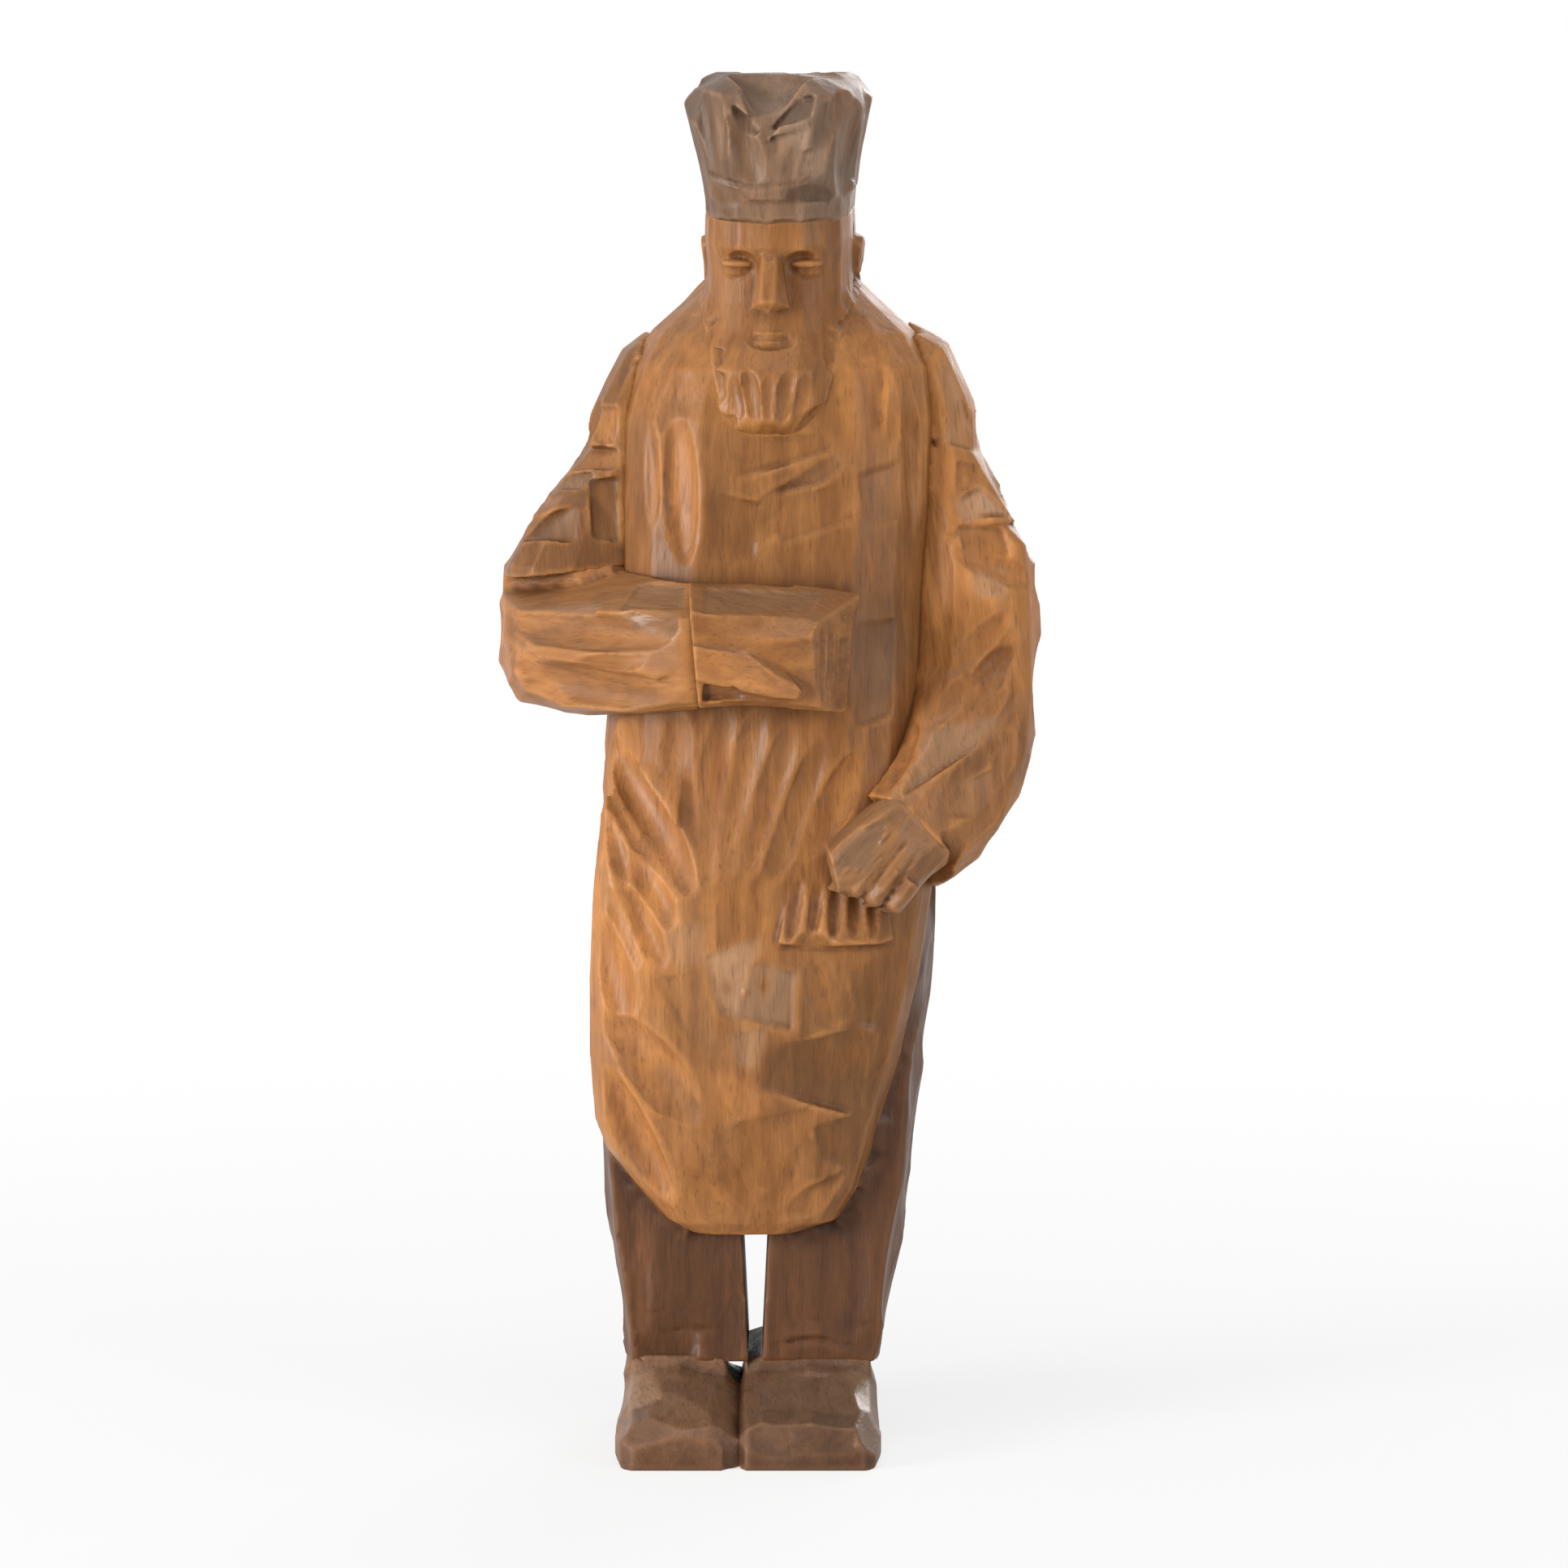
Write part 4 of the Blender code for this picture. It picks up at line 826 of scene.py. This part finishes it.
# Corners of each ear that are pared away, with the direction that each cut faces
EARS = (
    (((-9.1, 5.3, 163), (-0.5, -0.6, 0.6)), ((-9, 8.6, 163.4), (-0.5, 0.5, 0.7)),
     ((-8.6, 8.7, 159.2), (-0.5, 0.6, -0.6)), ((-8.4, 6.1, 158.1), (-0.5, -0.4, -0.75))),
    (((12.8, 3, 163), (0.5, -0.6, 0.6)), ((13.3, 6.3, 163.4), (0.5, 0.5, 0.7)),
     ((12.9, 6.5, 159.2), (0.5, 0.6, -0.6)), ((12.3, 3.9, 158.1), (0.5, -0.4, -0.75))),
)

# Wood
ROUGHNESS = 0.48
WAX_GLOSS = -0.2  # change of roughness on a grey, waxed facet
FIBRE_STRETCH = 0.09  # how much the grain is drawn out along its length
LOOSE_STRETCH = 0.35
# Reach and samples of the ambient occlusion that paints shade into recesses.
RECESS_REACH = 0.006
RECESS_SAMPLES = 6
# Painted sheen: the colour that facets marked grey turn towards.
PAINTED_SHEEN = (0.30, 0.19, 0.115)
PORE_SHADE = (0.45, 0.42, 0.4)  # shades are times a wood's dark or light colour
# Painted shade: the shade of hollows and recesses.
PAINTED_HOLLOW_SHADE = (0.4, 0.36, 0.32)
# Painted highlight: the shade of sharp edges.
PAINTED_EDGE_HIGHLIGHT = (1.3, 1.35, 1.45)


class Graph:
    """Node tree of a material or world, with short calls for the nodes used here."""

    def __init__(self, owner):
        owner.use_nodes = True
        self.nodes = owner.node_tree.nodes
        self.links = owner.node_tree.links

    def fill(self, node, inputs):
        """Sets or links some inputs of a node."""
        for key, value in inputs.items():
            if isinstance(value, bpy.types.NodeSocket):
                self.links.new(value, node.inputs[key])
            else:
                node.inputs[key].default_value = value
        return node

    def add(self, kind, inputs=None):
        return self.fill(self.nodes.new(kind), inputs or {})

    def math(self, operation, *values):
        made = self.nodes.new("ShaderNodeMath")
        made.operation = operation
        return self.fill(made, dict(enumerate(values))).outputs[0]

    def vector_math(self, operation, inputs):
        made = self.nodes.new("ShaderNodeVectorMath")
        made.operation = operation
        return self.fill(made, inputs).outputs

    def mix(self, factor, a, b):
        made = self.nodes.new("ShaderNodeMix")
        made.data_type = "RGBA"
        return self.fill(made, {0: factor, 6: a, 7: b}).outputs[2]

    def ramp(self, value, low, high, a=0.0, b=1.0, kind="LINEAR"):
        """Value turned from the range low to high into the range a to b."""
        made = self.add("ShaderNodeMapRange", {
            "Value": value, "From Min": low, "From Max": high, "To Min": a, "To Max": b})
        made.interpolation_type = kind
        return made.outputs["Result"]

    def noise(self, place, scale, detail, distortion):
        made = self.add("ShaderNodeTexNoise", {
            "Vector": place, "Scale": scale, "Detail": detail, "Distortion": distortion})
        return made.outputs["Fac"]

    def stretched(self, place, share):
        """Place that is drawn out along its Z axis."""
        made = self.add("ShaderNodeMapping", {"Vector": place, "Scale": (1.0, 1.0, share)})
        return made.outputs["Vector"]

    def attribute(self, name):
        made = self.nodes.new("ShaderNodeAttribute")
        made.attribute_name = name
        return made.outputs["Fac"]


def opaque(colour, shade=(1, 1, 1)):
    """Colour with an alpha, made darker or lighter by a shade."""
    return (*(min(c * s, 1) for c, s in zip(colour, shade)), 1)


def wood(name, light, dark, grey, grain=(0, 0, 1), grey_amount=0.35):
    """Stained, waxed wood whose grain runs along one direction of the piece, with painted shade in
    hollows and crevices, a painted highlight on sharp edges and painted sheen on grey facets and tops.
    """
    material = bpy.data.materials.new(name)
    graph = Graph(material)
    mix, ramp = graph.mix, graph.ramp
    shader = graph.nodes["Principled BSDF"]
    shader.inputs["Specular IOR Level"].default_value = 0.22
    shader.inputs["Coat Weight"].default_value = 0.06
    shader.inputs["Coat Roughness"].default_value = 0.32

    # Grain, clouds and knife marks
    place = graph.add("ShaderNodeTexCoord").outputs["Object"]
    turn = graph.add("ShaderNodeMapping", {"Vector": place})
    turn.vector_type = "TEXTURE"
    turn.inputs["Rotation"].default_value = Vector(grain).to_track_quat("Z", "Y").to_euler()
    fibres = graph.stretched(turn.outputs["Vector"], FIBRE_STRETCH)
    loose = graph.stretched(turn.outputs["Vector"], LOOSE_STRETCH)
    streak = graph.noise(fibres, 420.0, 4.0, 0.4)
    pores = graph.noise(fibres, 2600.0, 2.0, 0.0)
    cloud = graph.noise(place, 70.0, 3.0, 0.6)
    patch = graph.noise(place, 120.0, 2.0, 0.3)
    mottle = graph.noise(loose, 520.0, 3.0, 0.8)
    hollow = graph.attribute("hollow")
    tone = graph.attribute("tone")
    painted_sheen_and_wax = graph.attribute("grey")
    normal = graph.add("ShaderNodeNewGeometry").outputs["Normal"]
    painted_sheen_facing = graph.add("ShaderNodeSeparateXYZ", {0: normal}).outputs["Z"]
    occlusion_for_painted_shade = graph.add("ShaderNodeAmbientOcclusion", {"Distance": RECESS_REACH})
    occlusion_for_painted_shade.samples = RECESS_SAMPLES

    # Colour: streaks, grey clouds, painted sheen on grey facets and tops, tone with painted light and
    # shade, pores, painted shade in hollows, painted highlight on edges
    colour = mix(ramp(streak, 0.24, 0.76), opaque(dark), opaque(light))
    colour = mix(ramp(cloud, 0.45, 0.68, 0.0, grey_amount), colour, opaque(grey))
    # Painted sheen: facets marked grey turn greyer; the same mark also lowers the roughness.
    colour = mix(ramp(painted_sheen_and_wax, 0.0, 1.0, 0.0, 0.55), colour, opaque(PAINTED_SHEEN))
    # Painted sheen: faces that point up turn greyer.
    colour = mix(ramp(painted_sheen_facing, 0.3, 0.9, 0.0, 0.45), colour, opaque(grey))
    # The tone darkens or lightens the colour: it carries the wood's own tone and also painted light and
    # shade.
    tone_and_painted_light = graph.math(
        "MULTIPLY", ramp(tone, -1.0, 1.0, 0.55, 1.45), ramp(mottle, 0.3, 0.7, 0.84, 1.14))
    colour = graph.vector_math("SCALE", {0: colour, "Scale": tone_and_painted_light})["Vector"]
    colour = mix(ramp(pores, 0.58, 0.72, 0.0, 0.4), colour, opaque(dark, PORE_SHADE))
    # Painted shade: hollows and grooves darken towards this colour, and so do the recesses found by
    # ambient occlusion below.
    deep = opaque(dark, PAINTED_HOLLOW_SHADE)
    colour = mix(ramp(hollow, 0.13, 0.7, 0.0, 0.85), colour, deep)
    # Painted shade: ambient occlusion darkens recesses and the seams between pieces.
    colour = mix(ramp(occlusion_for_painted_shade.outputs["AO"], 0.82, 0.25, 0.0, 0.85), colour, deep)
    # Painted highlight: sharp edges lighten.
    colour = mix(ramp(hollow, -0.1, -0.6, 0.0, 0.5), colour, opaque(light, PAINTED_EDGE_HIGHLIGHT))

    # Gloss and relief
    patchy = ramp(patch, 0.35, 0.7, ROUGHNESS - 0.09, ROUGHNESS + 0.12)
    height = graph.math("MULTIPLY_ADD", mottle, 3.0, graph.math("ADD", streak, pores))
    bump = graph.add("ShaderNodeBump", {"Strength": 0.3, "Distance": 0.0002, "Height": height})
    graph.fill(shader, {
        "Base Color": colour,
        "Roughness": graph.math("MULTIPLY_ADD", painted_sheen_and_wax, WAX_GLOSS, patchy),
        "Normal": bump.outputs["Normal"],
    })
    return material


HONEY = ((0.375, 0.157, 0.043), (0.2, 0.071, 0.018), (0.23, 0.115, 0.055))
HAND_TINT = ((0.34, 0.155, 0.056), (0.19, 0.077, 0.024), (0.24, 0.135, 0.075))
CAP_TINT = ((0.238, 0.134, 0.075), (0.125, 0.058, 0.026), (0.21, 0.142, 0.098))
TROUSER_TINT = ((0.142, 0.056, 0.021), (0.074, 0.028, 0.0105), (0.115, 0.055, 0.026))
SHOE_TINT = ((0.19, 0.09, 0.043), (0.105, 0.045, 0.02), (0.17, 0.1, 0.06))
BIRCH_TINT = ((0.66, 0.47, 0.27), (0.52, 0.34, 0.17), (0.6, 0.45, 0.3))

honey_up = wood("honey_upright", *HONEY)
honey_across = wood("honey_across", *HONEY, grain=(1, -0.5, 0))
honey_arm = wood("honey_arm", *HONEY, grain=(-0.1, 0.2, 1))
hand_wood = wood("hand_wood", *HAND_TINT, grain=(-1, 0, -1))
grey_cap = wood("grey_cap", *CAP_TINT, grey_amount=0.7)
dark_cloth = wood("dark_trousers", *TROUSER_TINT)
dark_shoe = wood("dark_shoes", *SHOE_TINT, grain=(0, 1, 0))
birch = wood("birch", *BIRCH_TINT)

for node_object in frame["nodes"].values():
    node_object.data.materials.clear()
    node_object.data.materials.append(birch)


# Changes of tone at each point of a piece, in millimetres from the middle and the floor; those on the
# front of the body and sleeves are painted light, shade and sheen
def fade(values, low, high):
    """Zero at low, one at high."""
    return np.clip((values - low) / (high - low), 0, 1)


def front(p):
    """One on the figure's front, zero on its back."""
    return fade(p[:, 1], 11, 2)


def body_painted_light_and_shade(p):
    """Painted light and shade on the front: chest and left hip shaded darker, right hip lit lighter,
    left shoulder given a painted sheen; the hem is darker.
    """
    x, z = p[:, 0], p[:, 2]
    hips = (0.85 * fade(x, -8, -20) - 0.45 * fade(x, 2, 16)) * fade(z, 98, 88)
    chest = -0.5 * fade(z, 96, 112) * fade(z, 146, 136)
    shoulder = 0.8 * fade(x, 8, 15) * fade(z, 124, 136)
    hem = -0.2 * fade(z, 66, 60)
    return (hips + chest + shoulder + hem) * front(p)


def right_sleeve_painted_shade(p):
    """Painted shade: much darker on the front."""
    return -0.85 * front(p) - 0.1


def left_sleeve_painted_light(p):
    """Painted light: lighter on the front towards the shoulder."""
    return 0.9 * fade(p[:, 2], 94, 114) * front(p)


def hat_tone(p):
    """Darker on the figure's right side."""
    return -0.9 * fade(p[:, 0], -1, -8)


def trouser_tone(p):
    """Darker on the left leg."""
    return -0.35 * fade(p[:, 0], 0, 6)


def even_tone(amount):
    """The same change all over."""
    return lambda p: amount


# Pieces
AWAY_FACING = 0.2


def turned_away(p, n):
    """Places that do not face the camera, where the chips are not planned one by one."""
    return np.dot(n, CAMERA_AWAY) < AWAY_FACING


def hair(p, n):
    """The back of the head between neck and cap."""
    return n[1] > 0.25 and 150 < p[2] < 167


def shoe_upper(p, n):
    """A shoe without its sole."""
    return p[2] > 2.0 and n[2] > -0.5


body = Carving("body", 3)
body.flats(6.5, 0.85, long=1.6, grain=(0.1, 0, 1), where=turned_away)
body.facets(CHEST)
body.facets(APRON)
body.cuts(BODY_SCOOPS)
body.grooves(BODY_LINES)
body.finish(honey_up, 0.38, tone_and_painted_light=body_painted_light_and_shade)

head = Carving("head", 4)
head.flats(3.2, 0.35, long=1.9, wide=0.6, where=hair)
for ear in EARS:
    for point, normal in ear:
        head.lens(point, normal, (0, 0, 1), depth=0.7, half_long=2.2, half_wide=1.7, tone=0.0)
# The head is darker all over: painted shade under the cap.
head.finish(honey_up, 0.28, ("body",), even_tone(-0.25))

hat = Carving("hat", 5)
hat.flats(5.0, 0.55, where=turned_away)
hat.facets(HAT)
hat.cuts(HAT_SCOOPS)
hat.grooves(HAT_LINES)
hat.finish(grey_cap, 0.3, ("head",), hat_tone)

upper_arm = Carving("right_upper_arm", 6)
upper_arm.flats(5.5, 0.6, grain=(-0.4, 0, -1), where=turned_away)
upper_arm.facets(SLEEVE)
upper_arm.cuts(SLEEVE_SIDE, look="right")
upper_arm.finish(honey_arm, 0.3, ("body",), right_sleeve_painted_shade)

forearm = Carving("right_forearm", 7)
forearm.flats(5.5, 0.6, grain=(1, -0.7, 0), where=turned_away)
forearm.facets(FOREARM)
forearm.finish(honey_across, 0.32, ("body", "right_upper_arm", "right_fist"))

fist = Carving("right_fist", 8)
fist.flats(4.0, 0.2, grain=(1, 0, 0), where=turned_away)
fist.facets(FIST)
fist.finish(honey_across, 0.28, ("body",))

left_arm = Carving("left_arm", 9)
left_arm.flats(6.0, 0.8, grain=(-0.5, -0.3, -1), where=turned_away)
left_arm.facets(LEFT_SLEEVE)
left_arm.cuts(LEFT_SLEEVE_SCOOPS)
left_arm.cuts(ELBOW_FOLDS, look="left")
left_arm.grooves(LEFT_SLEEVE_LINES)
left_arm.finish(honey_arm, 0.34, ("body",), left_sleeve_painted_light)

hand = Carving("left_hand", 10)
hand.flats(3.2, 0.15, grain=(-0.6, 0, -0.8), where=turned_away)
hand.facets(HAND)
hand.grooves(HAND_LINES)
hand.finish(hand_wood, 0.26, ("body", "left_arm"), even_tone(-0.15))

trousers = Carving("trousers", 11)
trousers.flats(6.5, 0.6, long=1.9)
trousers.facets(TROUSERS)
trousers.grooves(TROUSER_LINES)
trousers.finish(dark_cloth, 0.38, ("body",), trouser_tone)

for shoe_name, shoe_seed, shoe_facets, meets, shoe_tone in (
    ("right_shoe", 12, RIGHT_SHOE, ("trousers", "left_shoe"), 0.05),
    ("left_shoe", 13, LEFT_SHOE, ("trousers",), -0.5),
):
    shoe = Carving(shoe_name, shoe_seed)
    shoe.flats(5.5, 0.4, grain=(0, 1, 0), where=shoe_upper)
    shoe.facets(shoe_facets)
    shoe.finish(dark_shoe, 0.32, meets, even_tone(shoe_tone))


# Stage and light
FLOOR_HALF = 3.0
FLOOR_COLOUR = (0.9, 0.9, 0.9, 1)
GLOW_NEAR = 0.05  # the floor keeps most of its shadow this near to the middle
GLOW_FAR = 0.4  # and is plain white from here on
GLOW_LEAST = 0.75
WORLD_LIGHT = 0.32
LIGHT_TARGET = Vector((0, 0, 0.1))


def background_rays(graph):
    """One for a ray that shows the background: from the camera, or by way of gloss or glass."""
    path = graph.add("ShaderNodeLightPath").outputs
    rays = graph.math("MAXIMUM", path["Is Camera Ray"], path["Is Glossy Ray"])
    return graph.math("MAXIMUM", rays, path["Is Transmission Ray"])


def make_floor():
    """White floor that keeps a soft shadow."""
    size = FLOOR_HALF
    corners = [(-size, -size, 0), (size, -size, 0), (size, size, 0), (-size, size, 0)]
    mesh = bpy.data.meshes.new("floor")
    mesh.from_pydata(corners, [], [(0, 1, 2, 3)])
    floor = bpy.data.objects.new("floor", mesh)
    SCENE.collection.objects.link(floor)
    material = bpy.data.materials.new("floor_white")
    graph = Graph(material)
    graph.nodes.remove(graph.nodes["Principled BSDF"])
    place = graph.add("ShaderNodeTexCoord").outputs["Object"]
    distance = graph.vector_math("LENGTH", {0: place})["Value"]
    share = graph.ramp(distance, GLOW_NEAR, GLOW_FAR, GLOW_LEAST, 1.0, kind="SMOOTHSTEP")
    blend = graph.add("ShaderNodeMixShader", {
        0: graph.math("MULTIPLY", background_rays(graph), share),
        1: graph.add("ShaderNodeBsdfDiffuse", {"Color": FLOOR_COLOUR}).outputs[0],
        2: graph.add("ShaderNodeEmission").outputs[0],
    })
    graph.fill(graph.nodes["Material Output"], {"Surface": blend.outputs[0]})
    mesh.materials.append(material)


def make_world():
    """White background that gives the object a lower, even light."""
    world = bpy.data.worlds.new("studio")
    SCENE.world = world
    graph = Graph(world)
    strength = graph.ramp(background_rays(graph), 0.0, 1.0, WORLD_LIGHT, 1.0)
    graph.fill(graph.nodes["Background"], {"Color": (1, 1, 1, 1), "Strength": strength})


def make_light(name, place, size, power):
    """Rectangular lamp that shines on the figure's middle."""
    data = bpy.data.lights.new(name, "AREA")
    data.shape = "RECTANGLE"
    data.size, data.size_y = size
    data.energy = power
    light = bpy.data.objects.new(name, data)
    SCENE.collection.objects.link(light)
    light.location = place
    light.rotation_euler = (LIGHT_TARGET - Vector(place)).to_track_quat("-Z", "Y").to_euler()


make_floor()
make_world()
make_light("key_left", (-0.85, -0.55, 0.2), (0.4, 0.35), 10.2)
make_light("top", (-0.1, -0.3, 0.9), (0.5, 0.4), 2.2)
make_light("fill_right", (0.75, -0.65, 0.3), (0.5, 0.5), 3.0)
make_light("fill_back", (0.35, 1.0, 0.45), (0.6, 0.6), 5.0)
